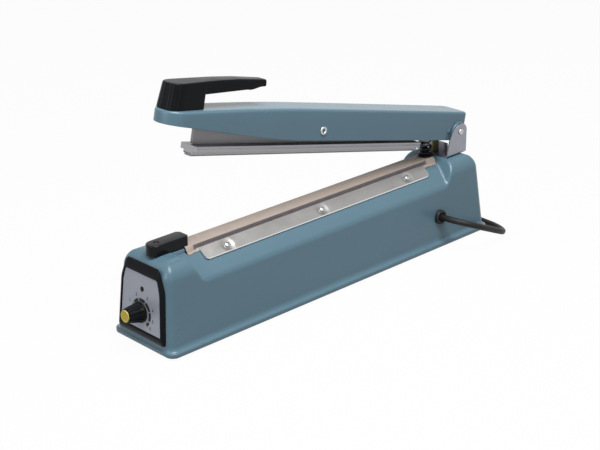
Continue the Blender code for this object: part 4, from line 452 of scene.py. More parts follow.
FAN_FRONT = 0.030
FAN_REAR = 0.400
RAY_HEIGHT = 0.050
RAY_REACH = 0.13
WALL_ROWS = (0.0, 0.00012, 0.0006, 0.0034, 0.00385, 0.0041, 0.0042, 0.00422, 0.0043, 0.00445, 0.0047, 0.0051,
             0.0057, 0.0065, 0.0076, 0.0088, 0.010, 0.016, 0.026, 0.038)
PANEL_FOOT = 0.0089
KNOB_RISE = 0.0238
LAMP_PLACE = (0.0013, 0.0461)
LAMP_RADIUS = 0.0022
CLAMP_SCREW_PLACES = (0.09075, 0.21125, 0.33175)
CLAMP_SCREW_LINE = 0.00749
COVER_SCREW_PLACE = 0.023
BRACKET_SCREW_PLACE = 0.400
BRACKET_SCREW_SPREAD = 0.0135
# Front, rear and half width
LINK_SLOT = (0.3885, 0.3983, 0.0015)
HOLE_REACH = (-0.006, 0.004)
KNOB_BUSH_HOLE = 0.0048
CLAMP_SCREW_HOLE = 0.0018
BRACKET_SCREW_HOLE = 0.0021
COVER_SCREW_HOLE = 0.0017


def side_wall(height):
    return BASE_HALF_WIDTH - SIDE_FLARE - (height - LIP_HEIGHT - FLARE_HEIGHT) * math.tan(SIDE_DRAFT)


def end_wall(height):
    return BASE_LENGTH / 2 - END_FLARE - (height - LIP_HEIGHT - FLARE_HEIGHT) * math.tan(END_DRAFT)


def round_and(first, second, radius):
    """Signed distance of what two shapes share, with the edge between them rounded."""
    return (np.minimum(-radius, np.maximum(first, second))
            + np.hypot(np.maximum(first + radius, 0), np.maximum(second + radius, 0)))


def round_or(first, second, radius):
    """Signed distance of two shapes together, with the corner between them filled to a radius."""
    return (np.maximum(radius, np.minimum(first, second))
            - np.hypot(np.maximum(radius - first, 0), np.maximum(radius - second, 0)))


def housing_distance(x, y, z, inset):
    """Distance to the housing's skin, negative inside; the inner skin has no lip or flare."""
    half_length = end_wall(z) - inset
    half_width = side_wall(z) - inset
    if not inset:
        above_lip = np.clip((z - LIP_HEIGHT) / FLARE_HEIGHT, 0, 1)
        spread = 1 - np.sqrt(1 - (1 - above_lip) ** 2)
        foot_turn = np.clip(1 - z / LIP_ROUND, 0, 1)
        edge_turn = np.where(z <= LIP_HEIGHT, np.clip((z - LIP_HEIGHT) / LIP_ROUND + 1, 0, 1), 0)
        tuck = LIP_ROUND * (2 - np.sqrt(1 - foot_turn ** 2) - np.sqrt(1 - edge_turn ** 2))
        below = np.maximum(z, LIP_HEIGHT + FLARE_HEIGHT)
        flare = np.where(z <= LIP_HEIGHT, 0, LIP_ROUND)
        half_length = end_wall(below) + (END_FLARE - flare) * spread - tuck
        half_width = side_wall(below) + (SIDE_FLARE - flare) * spread - tuck
    corner = WALL_CORNER - inset
    over_x = np.abs(x - BASE_LENGTH / 2) - half_length + corner
    over_y = np.abs(y) - half_width + corner
    plan = (np.hypot(np.maximum(over_x, 0), np.maximum(over_y, 0))
            + np.minimum(np.maximum(over_x, over_y), 0) - corner)
    body = round_and(plan, z - BASE_HEIGHT + inset, SHOULDER_RADIUS - inset)
    drop = (RIDGE_HEIGHT - ROOF_EDGE_HEIGHT) / (side_wall(ROOF_EDGE_HEIGHT) - RIDGE_HALF_WIDTH)
    shoulder = (z - RIDGE_HEIGHT + (np.abs(y) - RIDGE_HALF_WIDTH) * drop) * math.cos(math.atan(drop))
    roof = round_and(z - RIDGE_HEIGHT, shoulder, ROOF_EDGE_ROUND) + inset
    lean = (z - ROOF_EDGE_HEIGHT) * math.tan(SADDLE_LEAN)
    humps = np.minimum(x - SADDLE_FRONT + lean, SADDLE_REAR + lean - x) * math.cos(SADDLE_LEAN) + inset
    return round_and(body, round_or(roof, humps, SADDLE_FILLET), SADDLE_EDGE)


def spaced(*stretches):
    """Numbers over joined stretches, each given by its start, its end and its step count."""
    numbers = []
    for start, end, count in stretches:
        numbers += [start + (end - start) * step / count for step in range(count)]
    return numbers + [stretches[-1][1]]


def housing_skin(inset):
    """Points of the near half: one column for each heading round the plan, from foot to ridge."""
    fan = [math.radians(angle) for angle in spaced((180, 216, 12), (216, 246, 24), (246, 270, 8))]
    stations = spaced((0.030, 0.056, 52), (0.056, 0.064, 4), (0.064, 0.356, 28), (0.356, 0.364, 4),
                      (0.364, 0.391, 54), (0.391, 0.400, 4))
    columns = [(FAN_FRONT, angle) for angle in fan[:-1]] + [(x, math.radians(270)) for x in stations]
    columns += [(FAN_REAR, math.radians(540) - angle) for angle in reversed(fan[:-1])]
    tilts = np.radians(spaced((0, 10, 4), (10, 20, 20), (20, 64, 30), (64, 76, 12), (76, 90, 4)))
    rows = [(height, 0.0) for height in WALL_ROWS] + [(RAY_HEIGHT, tilt) for tilt in tilts]
    start_x = np.array([[x for height, tilt in rows] for x, heading in columns])
    heading = np.array([[heading for height, tilt in rows] for x, heading in columns])
    start_z = np.array([[height for height, tilt in rows] for column in columns])
    tilt = np.array([[tilt for height, tilt in rows] for column in columns])
    near, far = np.zeros_like(start_x), np.full_like(start_x, RAY_REACH)
    step_x, step_y, step_z = np.cos(heading) * np.cos(tilt), np.sin(heading) * np.cos(tilt), np.sin(tilt)
    for halving in range(40):
        middle = (near + far) / 2
        met = (start_x + step_x * middle, step_y * middle, start_z + step_z * middle)
        inside = housing_distance(*met, inset) < 0
        near, far = np.where(inside, middle, near), np.where(inside, far, middle)
    return np.stack([start_x + step_x * near, step_y * near, start_z + step_z * near], axis=-1)


def half_faces(grid, offset, flip):
    """Faces between the columns of one half of a skin."""
    columns, rows = grid.shape[:2]
    faces = []
    for column in range(columns - 1):
        for row in range(rows - 1):
            corner = offset + column * rows + row
            face = (corner, corner + rows, corner + rows + 1, corner + 1)
            faces.append(face[::-1] if flip else face)
    return faces


def mirrored_skin(outer, inner):
    """Outer and inner skins of one half, closed round the foot, with the same for the other half."""
    points = []
    faces = []
    for mirror in (1, -1):
        offset = len(points)
        for grid in (outer, inner):
            points += [(x, y * mirror, z) for x, y, z in grid.reshape(-1, 3)]
        inner_offset = offset + outer.shape[0] * outer.shape[1]
        faces += half_faces(outer, offset, mirror < 0) + half_faces(inner, inner_offset, mirror > 0)
        for column in range(outer.shape[0] - 1):
            lower = [offset + column * outer.shape[1], offset + (column + 1) * outer.shape[1]]
            upper = [inner_offset + (column + 1) * inner.shape[1], inner_offset + column * inner.shape[1]]
            faces.append(tuple(lower + upper))
    return points, faces


def moved(at, points, faces):
    return [at @ Vector(point) for point in points], faces


def together(*forms):
    """Points and faces of several separate closed forms as one."""
    points = []
    faces = []
    for form_points, form_faces in forms:
        faces += [tuple(index + len(points) for index in face) for face in form_faces]
        points += list(form_points)
    return points, faces


def baked(obj):
    """Points and faces of an object with its modifiers applied; the object itself is removed."""
    bpy.context.view_layer.update()
    mesh = bpy.data.meshes.new_from_object(obj.evaluated_get(bpy.context.evaluated_depsgraph_get()))
    bpy.data.objects.remove(obj)
    return [vertex.co.copy() for vertex in mesh.vertices], [tuple(face.vertices) for face in mesh.polygons]


def combined(first, second, operation):
    """Points and faces of two closed forms joined or shared, or of the first with the second cut out."""
    kept, other = (in_scene("shape", cleaned_mesh("shape", *form)) for form in (first, second))
    modifier = kept.modifiers.new("combine", "BOOLEAN")
    modifier.operation = operation
    modifier.object = other
    modifier.solver = "MANIFOLD"
    result = baked(kept)
    bpy.data.objects.remove(other)
    return result


def rod(radius, low, high, sides=24):
    """A plain round bar along Z, for cutting holes and for shanks."""
    return turned_mesh(((0.0, low), (radius, low), (radius, high), (0.0, high)), sides)


def block(low, high):
    """A box between two corners, for cutting and joining."""
    plan = ((low[0], low[1]), (high[0], low[1]), (high[0], high[1]), (low[0], high[1]))
    return rings_to_mesh([[(x, y, z) for x, y in plan] for z in (low[2], high[2])])


def roof_angle():
    return math.atan2(RIDGE_HEIGHT - ROOF_EDGE_HEIGHT, side_wall(ROOF_EDGE_HEIGHT) - RIDGE_HALF_WIDTH)


def shoulder_frame(side):
    """At the ridge's edge: X along the base, Z square out of the shoulder."""
    place = Matrix.Translation((0, side * RIDGE_HALF_WIDTH, RIDGE_HEIGHT))
    return place @ Matrix.Rotation(-side * roof_angle(), 4, "X")


panel_out = Vector((-math.cos(END_DRAFT), 0, math.sin(END_DRAFT)))
PANEL = frame_on((BASE_LENGTH / 2 - end_wall(PANEL_FOOT), 0, PANEL_FOOT), panel_out)
enamel = finish("blue_enamel", (0.069, 0.128, 0.165), (0.076, 0.139, 0.180), (0.22, 0.30), patch=22.0,
                grain=420.0, depth=0.00004, specular=0.3)
gland_hole = moved(LIP.inverted() @ frame_on(GLAND_WALL, GLAND_OUTWARD),
                   *rod(GLAND_BODY_RADIUS + SEAT_GAP, *HOLE_REACH))
openings = [gland_hole, block((LINK_SLOT[0], -LINK_SLOT[2], 0.077), (LINK_SLOT[1], LINK_SLOT[2], 0.090))]
for across, rise, radius in ((0, KNOB_RISE, KNOB_BUSH_HOLE), (*LAMP_PLACE, LAMP_RADIUS + SEAT_GAP)):
    openings.append(moved(PANEL @ Matrix.Translation((across, rise, 0)), *rod(radius, *HOLE_REACH)))
for side in (-1, 1):
    for place in CLAMP_SCREW_PLACES:
        at = shoulder_frame(side) @ Matrix.Translation((place, side * CLAMP_SCREW_LINE, 0))
        openings.append(moved(at, *rod(CLAMP_SCREW_HOLE, *HOLE_REACH)))
    at = Matrix.Translation((BRACKET_SCREW_PLACE, side * BRACKET_SCREW_SPREAD, BASE_HEIGHT))
    openings.append(moved(at, *rod(BRACKET_SCREW_HOLE, *HOLE_REACH)))
openings.append(moved(Matrix.Translation((COVER_SCREW_PLACE, 0, BASE_HEIGHT)),
                      *rod(COVER_SCREW_HOLE, *HOLE_REACH)))
shell = mirrored_skin(housing_skin(0), housing_skin(WALL))
piece("housing_shell", *combined(shell, together(*openings), "DIFFERENCE"), enamel, "base", "blue_enamel",
      ("base_housing",), LIP, 60)


# Lifting arm: a pressed channel with a round nose and a soft upper edge
# The wall follows the plan outline; its lower edge climbs towards the nose, as the upper edge falls.
# Pressed steel with the same enamel as the housing, hung on the pin between the ears.
PIN_PLACE = 0.409
PIN_HEIGHT = 0.1075
REST_OPENING = math.radians(13.25)
ARM = LIP @ Matrix.Translation((PIN_PLACE, 0, PIN_HEIGHT)) @ Matrix.Rotation(REST_OPENING, 4, "Y")
ARM_LENGTH = 0.3887
ARM_TAIL = 0.0125
ARM_TAIL_CORNER = 0.007
ARM_HALF_WIDTH = 0.0175
ARM_NOSE_LENGTH = 0.0182
ARM_RISE = 0.0229
ARM_DROP = 0.0099
ARM_WALL = 0.0018
ARM_EDGE = 0.0028
ARM_RIM = 0.0005
ARM_SOFTENING = 0.012
# Station ahead of the pin, upper edge above it, lower edge below it, as shares of length, rise and drop
ARM_EDGE_SHARES = (
    (-0.035, 0.873, 1.010), (0.000, 0.882, 1.000), (0.250, 0.934, 0.909), (0.419, 0.965, 0.838),
    (0.617, 1.000, 0.747), (0.725, 0.978, 0.424), (0.790, 0.948, 0.141), (0.852, 0.913, -0.141),
    (0.913, 0.878, -0.394), (0.953, 0.856, -0.626), (1.000, 0.830, -0.707),
)
HINGE_BOSS_RADIUS = 0.0096
HINGE_BOSS_HEIGHT = 0.0022
HINGE_BOSS_FOOT = 0.0010
HINGE_BOSS_EDGE = 0.0008
HINGE_BOSS_SEAT = 0.0004
HINGE_BOSS_BASE = 0.0005
ARM_NOSE_STEPS = 24
ARM_SIDE_STEPS = 72


def arm_edge(ahead, column, size):
    """Height of one of the arm's edges, its table's corners rounded over a short stretch."""
    places = [row[0] * ARM_LENGTH for row in ARM_EDGE_SHARES]
    heights = [row[column] * size for row in ARM_EDGE_SHARES]
    around = [ahead + ARM_SOFTENING * share for share in (-1, -0.5, 0, 0.5, 1)]
    return float(np.mean(np.interp(around, places, heights)))


def arm_top(ahead):
    return arm_edge(ahead, 1, ARM_RISE)


def arm_underside(ahead):
    return -arm_edge(ahead, 2, ARM_DROP)


def quarter(steps):
    """Round a quarter turn: the share drawn in so far, and the share still to rise."""
    turns = [math.pi / 2 * step / steps for step in range(steps + 1)]
    return [(1 - math.cos(turn), 1 - math.sin(turn)) for turn in turns]


def arm_outline(inset):
    """Round the near half of the plan from nose to tail: place ahead, half width and outward direction."""
    half = ARM_HALF_WIDTH - inset
    nose_start = ARM_LENGTH - ARM_NOSE_LENGTH
    nose = ARM_NOSE_LENGTH - inset
    outline = []
    for step in range(ARM_NOSE_STEPS):
        turn = math.pi / 2 * (1 - step / ARM_NOSE_STEPS)
        outward = Vector((math.sin(turn) / nose, math.cos(turn) / half)).normalized()
        outline.append((nose_start + nose * math.sin(turn), half * math.cos(turn), outward.x, outward.y))
    side_end = ARM_TAIL_CORNER - ARM_TAIL
    for step in range(ARM_SIDE_STEPS):
        outline.append((nose_start + (side_end - nose_start) * step / ARM_SIDE_STEPS, half, 0, 1))
    corner = ARM_TAIL_CORNER - inset
    for step in range(9):
        turn = math.pi / 2 * step / 8
        outline.append((side_end - corner * math.sin(turn), half - corner * (1 - math.cos(turn)),
                        -math.sin(turn), math.cos(turn)))
    outline.append((inset - ARM_TAIL, 0, -1, 0))
    return outline


def arm_column(inset, place, rim):
    """One column of the arm's skin, from its lower rim up, over the edge and in to the middle line."""
    ahead, across, out_x, out_y = place
    edge = max(ARM_EDGE - inset, 0.0006)
    low = arm_underside(ahead)
    high = arm_top(ahead) - inset
    column = [(ahead - out_x * rim, across - out_y * rim, low), (ahead, across, low + abs(rim)),
              (ahead, across, low + 0.003), (ahead, across, (low + high) / 2)]
    for inward, short in quarter(7):
        at_x, at_y = ahead - out_x * (edge * inward), max(across - out_y * (edge * inward), 0)
        column.append((at_x, at_y, arm_top(at_x) - inset - edge * short))
    end = column[-1]
    spine = min(max(end[0], ARM_HALF_WIDTH - ARM_TAIL), ARM_LENGTH - ARM_NOSE_LENGTH)
    for share in (0.3, 0.65, 1.0):
        x = end[0] + (spine - end[0]) * share
        column.append((x, end[1] * (1 - share), arm_top(x) - inset))
    return [(-x, -y, z) for x, y, z in column]


outer = np.array([arm_column(0, place, ARM_RIM) for place in arm_outline(0)])
inner = np.array([arm_column(ARM_WALL, place, -ARM_RIM) for place in arm_outline(ARM_WALL)])
piece("arm_channel", *mirrored_skin(outer, inner), enamel, "arm", "blue_enamel", ("arm_shell",), ARM, 34)
for side in (-1, 1):
    profile = [(0.0, HINGE_BOSS_BASE), (HINGE_BOSS_RADIUS + 0.0016, HINGE_BOSS_BASE)]
    profile += [(HINGE_BOSS_RADIUS + HINGE_BOSS_FOOT * short,
                 HINGE_BOSS_BASE + 0.0001 + HINGE_BOSS_FOOT * inward) for inward, short in quarter(6)]
    profile += [(HINGE_BOSS_RADIUS - HINGE_BOSS_EDGE * inward, HINGE_BOSS_HEIGHT - HINGE_BOSS_EDGE * short)
                for inward, short in quarter(6)]
    profile.append((0.0, HINGE_BOSS_HEIGHT))
    at = ARM @ frame_on((0, side * (ARM_HALF_WIDTH - HINGE_BOSS_SEAT), 0), (0, side, 0))
    piece(f"hinge_step_{'near' if side < 0 else 'far'}", *turned_mesh(profile, 48), enamel, "arm",
          "blue_enamel", (), at, 34)
rivet_steel = finish("rivet_steel", (0.42, 0.43, 0.44), (0.52, 0.53, 0.54), (0.20, 0.32), 1.0, grain=1500.0,
                     depth=0.00001)
PIVOT_AHEAD = 0.201
PIVOT_RISE = 0.002
PIVOT_PROFILE = (
    (0.0, -0.0010), (0.0042, -0.0010), (0.0042, 0.0004), (0.0039, 0.0009), (0.0032, 0.0012), (0.0024, 0.0011),
    (0.0019, 0.0006), (0.0017, -0.0006), (0.0, -0.0008),
)
for side in (-1, 1):
    at = ARM @ frame_on((-PIVOT_AHEAD, side * (ARM_HALF_WIDTH + SEAT_GAP), PIVOT_RISE), (0, side, 0))
    piece(f"pivot_rivet_{'near' if side < 0 else 'far'}", *turned_mesh(PIVOT_PROFILE, 32), rivet_steel, "arm",
          "bright_steel", ("pivot_screw",) if side < 0 else (), at, 40)


# Handle: black moulding on the nose with a thumb lever that points back
# The block's sides lean in and its front is fluted; the lever runs flush from its top to a cut tip.
# Satin black plastic, screwed to the arm from below.
HANDLE_TIP = 0.2725
HANDLE_ROUND = 0.0014
HANDLE_SOFTENING = 0.003
FLUTE_DEPTH = 0.0004
FLUTE_COUNT = 9
FLUTE_ROUND = 0.6
FLUTES_END = math.radians(20)
BLOCK_REAR = 0.3468
BLOCK_CORNER = 0.0012
BLOCK_SPINE = 0.011
BLOCK_STEPS = 60
NOSE_SHARE = 0.8
# Ahead of the pin and height above it
HANDLE_TOP = ((0.2725, 0.0476), (0.305, 0.0477), (0.329, 0.0466), (0.350, 0.0450), (0.371, 0.0433),
              (0.387, 0.0420))
LEVER_SOFTENING = 0.0012
LEVER_RUN = 0.078
LEVER_STEPS = 38
TIP_RUN = 0.002
TIP_ROUND = 0.0009
TIP_LEAN = 0.0010
LEVER_UNDERSIDE = ((0.2725, 0.0410), (0.2790, 0.0404), (0.2870, 0.0381), (0.2905, 0.0376), (0.2950, 0.0378),
                   (0.3430, 0.0337), (0.3540, 0.0328))
# In from the lever's side and up from its underside
LEVER_FOOT = ((0.0014, 0.0), (0.0004, 0.0004), (0.0, 0.0016))
# Ahead of the pin and half width, at the top and at the block's foot
HANDLE_TOP_WIDTH = ((0.2725, 0.0061), (0.3450, 0.0101), (0.3722, 0.0121))
BLOCK_FOOT_WIDTH = ((0.3468, 0.0106), (0.3740, 0.0137))
# Nose start, reach and half width, at the top and at the foot
TOP_NOSE = (0.3722, 0.0122, 0.0121)
FOOT_NOSE = (0.3740, 0.0130, 0.0137)


def read_off(table, place, softening=0.0):
    """Straight-line reading of a table, its corners rounded over a short stretch."""
    around = [place + softening * share for share in (-1, -0.5, 0, 0.5, 1)]
    return float(np.mean(np.interp(around, [row[0] for row in table], [row[1] for row in table])))


def handle_plan(nose, widths):
    """Round the near half of the block from its front to its rear, with flutes on its nose."""
    start, reach, half = nose
    plan = []
    for step in range(BLOCK_STEPS):
        turn = math.pi / 2 * (1 - step / BLOCK_STEPS)
        groove = FLUTE_DEPTH * (1 - abs(math.sin(turn * FLUTE_COUNT)) ** FLUTE_ROUND) * (turn > FLUTES_END)
        outward = Vector((math.sin(turn) / reach, math.cos(turn) / half)).normalized()
        plan.append((start + reach * math.sin(turn) ** NOSE_SHARE - outward.x * groove,
                     max(half * math.cos(turn) ** NOSE_SHARE - outward.y * groove, 0)))
    for step in range(17):
        ahead = start + (BLOCK_REAR + BLOCK_CORNER - start) * step / 16
        plan.append((ahead, read_off(widths, ahead)))
    half = plan[-1][1]
    plan += [(BLOCK_REAR + BLOCK_CORNER * short, half - BLOCK_CORNER * inward)
             for inward, short in quarter(5)[1:]]
    return plan + [(BLOCK_REAR, 0.0)]


columns = []
foot_plan = handle_plan(FOOT_NOSE, BLOCK_FOOT_WIDTH)
top_plan = handle_plan(TOP_NOSE, HANDLE_TOP_WIDTH)
for index, (foot, top) in enumerate(zip(foot_plan, top_plan)):
    before, after = top_plan[max(index - 1, 0)], top_plan[min(index + 1, len(top_plan) - 1)]
    outward = Vector((after[1] - before[1], before[0] - after[0])).normalized()
    if index == 0:
        outward = Vector((1, 0))
    low = arm_top(min(foot[0], ARM_LENGTH)) + SEAT_GAP
    high = read_off(HANDLE_TOP, top[0], HANDLE_SOFTENING)
    middle = min(max(top[0], BLOCK_REAR + BLOCK_SPINE), TOP_NOSE[0])
    column = [(middle, 0.0, arm_top(middle) + SEAT_GAP), (*foot, low)]
    for share in (0.25, 0.5, 0.75):
        column.append((foot[0] + (top[0] - foot[0]) * share, foot[1] + (top[1] - foot[1]) * share,
                       low + (high - HANDLE_ROUND - low) * share))
    for inward, short in quarter(5):
        sunk = HANDLE_ROUND * inward
        at_x, at_y = top[0] - outward.x * sunk, max(top[1] - outward.y * sunk, 0)
        column.append((at_x, at_y, read_off(HANDLE_TOP, at_x, HANDLE_SOFTENING) - HANDLE_ROUND * short))
    end = column[-1]
    for share in (0.35, 0.7, 1.0):
        x = end[0] + (middle - end[0]) * share
        column.append((x, end[1] * (1 - share), read_off(HANDLE_TOP, x, HANDLE_SOFTENING)))
    columns.append([(-x, -y, z) for x, y, z in column])
near_half = np.array(columns)
far_half = near_half * np.array((1, -1, 1))
handle_block = ([tuple(point) for grid in (near_half, far_half) for point in grid.reshape(-1, 3)],
                half_faces(near_half, 0, False)
                + half_faces(far_half, near_half.shape[0] * near_half.shape[1], True))
rings = []
for place in (0.0, 0.0001, 0.0004, TIP_ROUND,
              *(TIP_RUN + LEVER_RUN * step / LEVER_STEPS for step in range(LEVER_STEPS + 1))):
    ahead = HANDLE_TIP + place
    sunk = TIP_ROUND - math.sqrt(max(TIP_ROUND ** 2 - max(TIP_ROUND - place, 0) ** 2, 0))
    half = read_off(HANDLE_TOP_WIDTH, ahead) - sunk
    high = read_off(HANDLE_TOP, ahead, HANDLE_SOFTENING) - sunk
    low = read_off(LEVER_UNDERSIDE, ahead, LEVER_SOFTENING) + sunk
    ring = [(half - inward, low + upward) for inward, upward in LEVER_FOOT] + [(half, high - HANDLE_ROUND)]
    ring += [(half - HANDLE_ROUND * inward, high - HANDLE_ROUND * short) for inward, short in quarter(4)[1:]]
    lean = TIP_LEAN * max(1 - place / TIP_RUN, 0)
    ring = [(lean * (1 - (z - low) / (high - low)) - ahead, y, z) for y, z in ring]
    rings.append(ring + [(x, -y, z) for x, y, z in reversed(ring)])
piece("handle_moulding", *combined(handle_block, rings_to_mesh(rings), "UNION"), black_plastic, "arm",
      "black_plastic", ("handle",), ARM, 38)


# Front panel: black moulded frame round a brushed label, with the lamp
# The frame's border is crowned, and its rear edge follows the wall round the corners and over the crown.
# The label carries only a dial of thick arcs and its numbers; words on the real one are left off.
PANEL_HEIGHT = 0.0702
CROWN_START = BASE_HEIGHT - SHOULDER_RADIUS
PANEL_EDGE = ((0.0, 0.0336), (0.0505, 0.0308), (0.0702, 0.0235))
PANEL_BORDERS = (0.0042, 0.0068, 0.0099)
LABEL_PLAY = 0.0005
LABEL_FACE = 0.0024
# Share of the border in from the rim, and share of the way up to the front
BEZEL_CROWN = (
    (0.00, 0.20), (0.02, 0.34), (0.08, 0.50), (0.20, 0.66), (0.40, 0.82), (0.60, 0.93), (0.80, 1.00),
    (0.90, 1.00), (0.97, 0.95), (1.00, 0.84), (1.00, 0.42),
)
DIAL_CENTRE = (0.0008, 0.0231)
DIAL_RADII = (0.0107, 0.0138)
DIAL_SEGMENTS = ((167, 152), (146, 112), (106, 68), (63, 22), (17, -22), (-29, -52))
DIAL_NUMBERS = ((-0.0162, 0.0302), (-0.0068, 0.0386), (0.0089, 0.0392), (0.0171, 0.0301), (0.0173, 0.0196),
                (0.0138, 0.0122))
NUMBER_HEIGHT = 0.0044
NUMBER_BOLDNESS = 0.00008
PRINT_DEPTH = 0.00003
# Reach of the corners of the rim, the recess and the label
PANEL_CORNERS = (0.0035, 0.0022, 0.0018)
# How far the frame's back draws in and down over the crown, as shares of the crown's fall
CROWN_TUCK = (1.1, 0.6)
FRAME_SINK = 0.001
FRAME_OVER_CROWN = -0.0004
FRAME_FACE = 0.0033
RECESS_FLOOR = 0.0017
PANEL_CUT = (-0.006, 0.006)
LABEL_THICKNESS = 0.0004
LAMP_PROFILE = (
    (0.0, -0.0088), (LAMP_RADIUS, -0.0088), (LAMP_RADIUS, 0.0025), (0.0020, 0.0029), (0.0014, 0.0031),
    (0.0007, 0.0032), (0.0, 0.0032),
)


def rounded(outline, reaches, steps=6):
    """A closed outline with each corner swung over its reach."""
    if not hasattr(reaches, "__len__"):
        reaches = [reaches] * len(outline)
    points = []
    for index, reach in enumerate(reaches):
        corner = Vector(outline[index])
        first = corner + (Vector(outline[index - 1]) - corner).normalized() * reach
        last = corner + (Vector(outline[(index + 1) % len(outline)]) - corner).normalized() * reach
        for step in range(steps + 1):
            share = step / steps
            points.append(tuple(first.lerp(corner, share).lerp(corner.lerp(last, share), share)))
    return points


def prism(outline, low, high):
    """An outline in XY carried from one height to another."""
    return rings_to_mesh([[(x, y, height) for x, y in outline] for height in (low, high)])


def panel_outline(side, foot, head, reach):
    top = PANEL_HEIGHT - head
    shoulder = PANEL_EDGE[1][0]
    right = [(read_off(PANEL_EDGE, foot) - side, foot),
             (read_off(PANEL_EDGE, shoulder) - side, shoulder - side / 2),
             (read_off(PANEL_EDGE, top) - side, top)]
    return rounded(right + [(-x, y) for x, y in reversed(right)], reach)


def clear_of_skin(point_at, low, high):
    """The lowest height whose point, as point_at gives it, stands clear of the housing's skin."""
    for halving in range(24):
        middle = (low + high) / 2
        x, y, z = point_at(middle)
        if housing_distance(np.array(x), np.array(y), np.array(z), 0) > SEAT_GAP:
            high = middle
        else:
            low = middle
    return high


def wall_below(across, rise):
    """How far behind the panel's plane the housing's skin lies under a point."""
    return clear_of_skin(lambda height: PANEL @ Vector((across, rise, height)), -0.012, 0.002)


rim = panel_outline(0, 0, 0, PANEL_CORNERS[0])
recess = panel_outline(*PANEL_BORDERS, PANEL_CORNERS[1])
back = []
front_start = []
for across, rise in rim:
    over_crown = max(PANEL_FOOT + rise - CROWN_START, 0)
    fallen = SHOULDER_RADIUS - math.sqrt(SHOULDER_RADIUS ** 2 - over_crown ** 2)
    tucked = (across * (1 - fallen * CROWN_TUCK[0] / PANEL_EDGE[2][1]), rise - fallen * CROWN_TUCK[1])
    back.append((*tucked, wall_below(*tucked)))
    front_start.append(FRAME_OVER_CROWN if over_crown else max(wall_below(across, rise), -FRAME_SINK))
rings = [back]
for inward, upward in BEZEL_CROWN:
    rings.append([(edge[0] + (inner[0] - edge[0]) * inward, edge[1] + (inner[1] - edge[1]) * inward,
                   start + (FRAME_FACE - start) * upward)
                  for edge, inner, start in zip(rim, recess, front_start)])
rings[-1] = [(x, y, RECESS_FLOOR) for x, y in recess]
bush_hole = moved(Matrix.Translation((0, KNOB_RISE, 0)), *rod(KNOB_BUSH_HOLE, *PANEL_CUT))
lamp_hole = moved(Matrix.Translation((*LAMP_PLACE, 0)), *rod(LAMP_RADIUS + SEAT_GAP, *PANEL_CUT))
piece("panel_frame", *combined(rings_to_mesh(rings), together(bush_hole, lamp_hole), "DIFFERENCE"),
      black_plastic, "base", "black_plastic", ("panel_bezel",), LIP @ PANEL, 32)
label_finish = finish("silver_label", (0.255, 0.272, 0.318), (0.285, 0.303, 0.350), (0.34, 0.44), 0.25,
                      grain=900.0, depth=0.000012, stretch=(1, 0.05, 1), specular=0.2)
label_outline = panel_outline(*(border + LABEL_PLAY for border in PANEL_BORDERS), PANEL_CORNERS[2])
label_form = combined(prism(label_outline, LABEL_FACE - LABEL_THICKNESS, LABEL_FACE),
                      together(bush_hole, lamp_hole), "DIFFERENCE")
piece("panel_label_plate", *label_form, label_finish, "base", "silver_label", ("panel_label",),
      LIP @ PANEL, 30)
dial = []
for start, end in DIAL_SEGMENTS:
    rings = []
    steps = max(round(abs(start - end) / 4), 2)
    for step in range(steps + 1):
        turn = math.radians(start + (end - start) * step / steps)
        arc = [(DIAL_CENTRE[0] + radius * math.cos(turn), DIAL_CENTRE[1] + radius * math.sin(turn))
               for radius in DIAL_RADII]
        rings.append([(*spot, LABEL_FACE) for spot in arc]
                     + [(*spot, LABEL_FACE + PRINT_DEPTH) for spot in reversed(arc)])
    dial.append(rings_to_mesh(rings))
for number, (across, rise) in enumerate(DIAL_NUMBERS, 1):
    letters = bpy.data.curves.new("number", "FONT")
    letters.body = str(number)
    letters.size = NUMBER_HEIGHT
    letters.offset = NUMBER_BOLDNESS
    letters.extrude = PRINT_DEPTH
    letters.align_x = "CENTER"
    letters.align_y = "CENTER"
    dial.append(moved(Matrix.Translation((across, rise, LABEL_FACE)), *baked(in_scene("number", letters))))
print_black = finish("print_black", (0.006, 0.006, 0.008), (0.012, 0.012, 0.015), (0.45, 0.60), grain=1500.0,
                     specular=0.2)
piece("dial_print", *together(*dial), print_black, "base", "silver_label", (), LIP @ PANEL, 30)
lamp_glass = finish("lamp_lens", (0.006, 0.002, 0.002), (0.012, 0.004, 0.004), (0.06, 0.12), grain=900.0,
                    specular=0.12)
piece("lamp", *turned_mesh(LAMP_PROFILE, 24), lamp_glass, "base", "lamp_lens", ("indicator_lamp",),
      LIP @ PANEL @ Matrix.Translation((*LAMP_PLACE, 0)), 35)


# Timer knob: fluted black grip that narrows forward, with a two-tone yellow cap
# The grip has a plain collar at its foot; the cap's middle is sunk inside a paler rim.
# Both are moulded plastic and turn with the timer's shaft.
KNOB_FLUTES = 12
KNOB_SIDES = 144
KNOB_FLUTE_ROUND = 0.7
KNOB_BORE = 0.0033
# Low and high end of the bores for the shaft and for the cap's stem
KNOB_BORE_ENDS = ((0.001, 0.0145), (0.0165, 0.020))
CAP_MIDDLE_HEIGHT = 0.019
CAP_MIDDLE_RADIUS = 0.0042
# Height above the wall, radius and depth of the flutes as a share of it
KNOB_PROFILE = (
    (0.0029, 0.0000, 0.00), (0.0029, 0.0094, 0.00), (0.0031, 0.0097, 0.00), (0.0035, 0.0098, 0.00),
    (0.0044, 0.0098, 0.00), (0.0047, 0.0096, 0.00), (0.0049, 0.0092, 0.03), (0.0056, 0.0091, 0.09),
    (0.0080, 0.0087, 0.09), (0.0110, 0.0082, 0.09), (0.0140, 0.0077, 0.09), (0.0170, 0.0072, 0.09),
    (0.0183, 0.0070, 0.08), (0.0188, 0.0068, 0.05), (0.0190, 0.0064, 0.02), (0.0191, 0.0058, 0.00),
    (0.0191, 0.0000, 0.00),
)
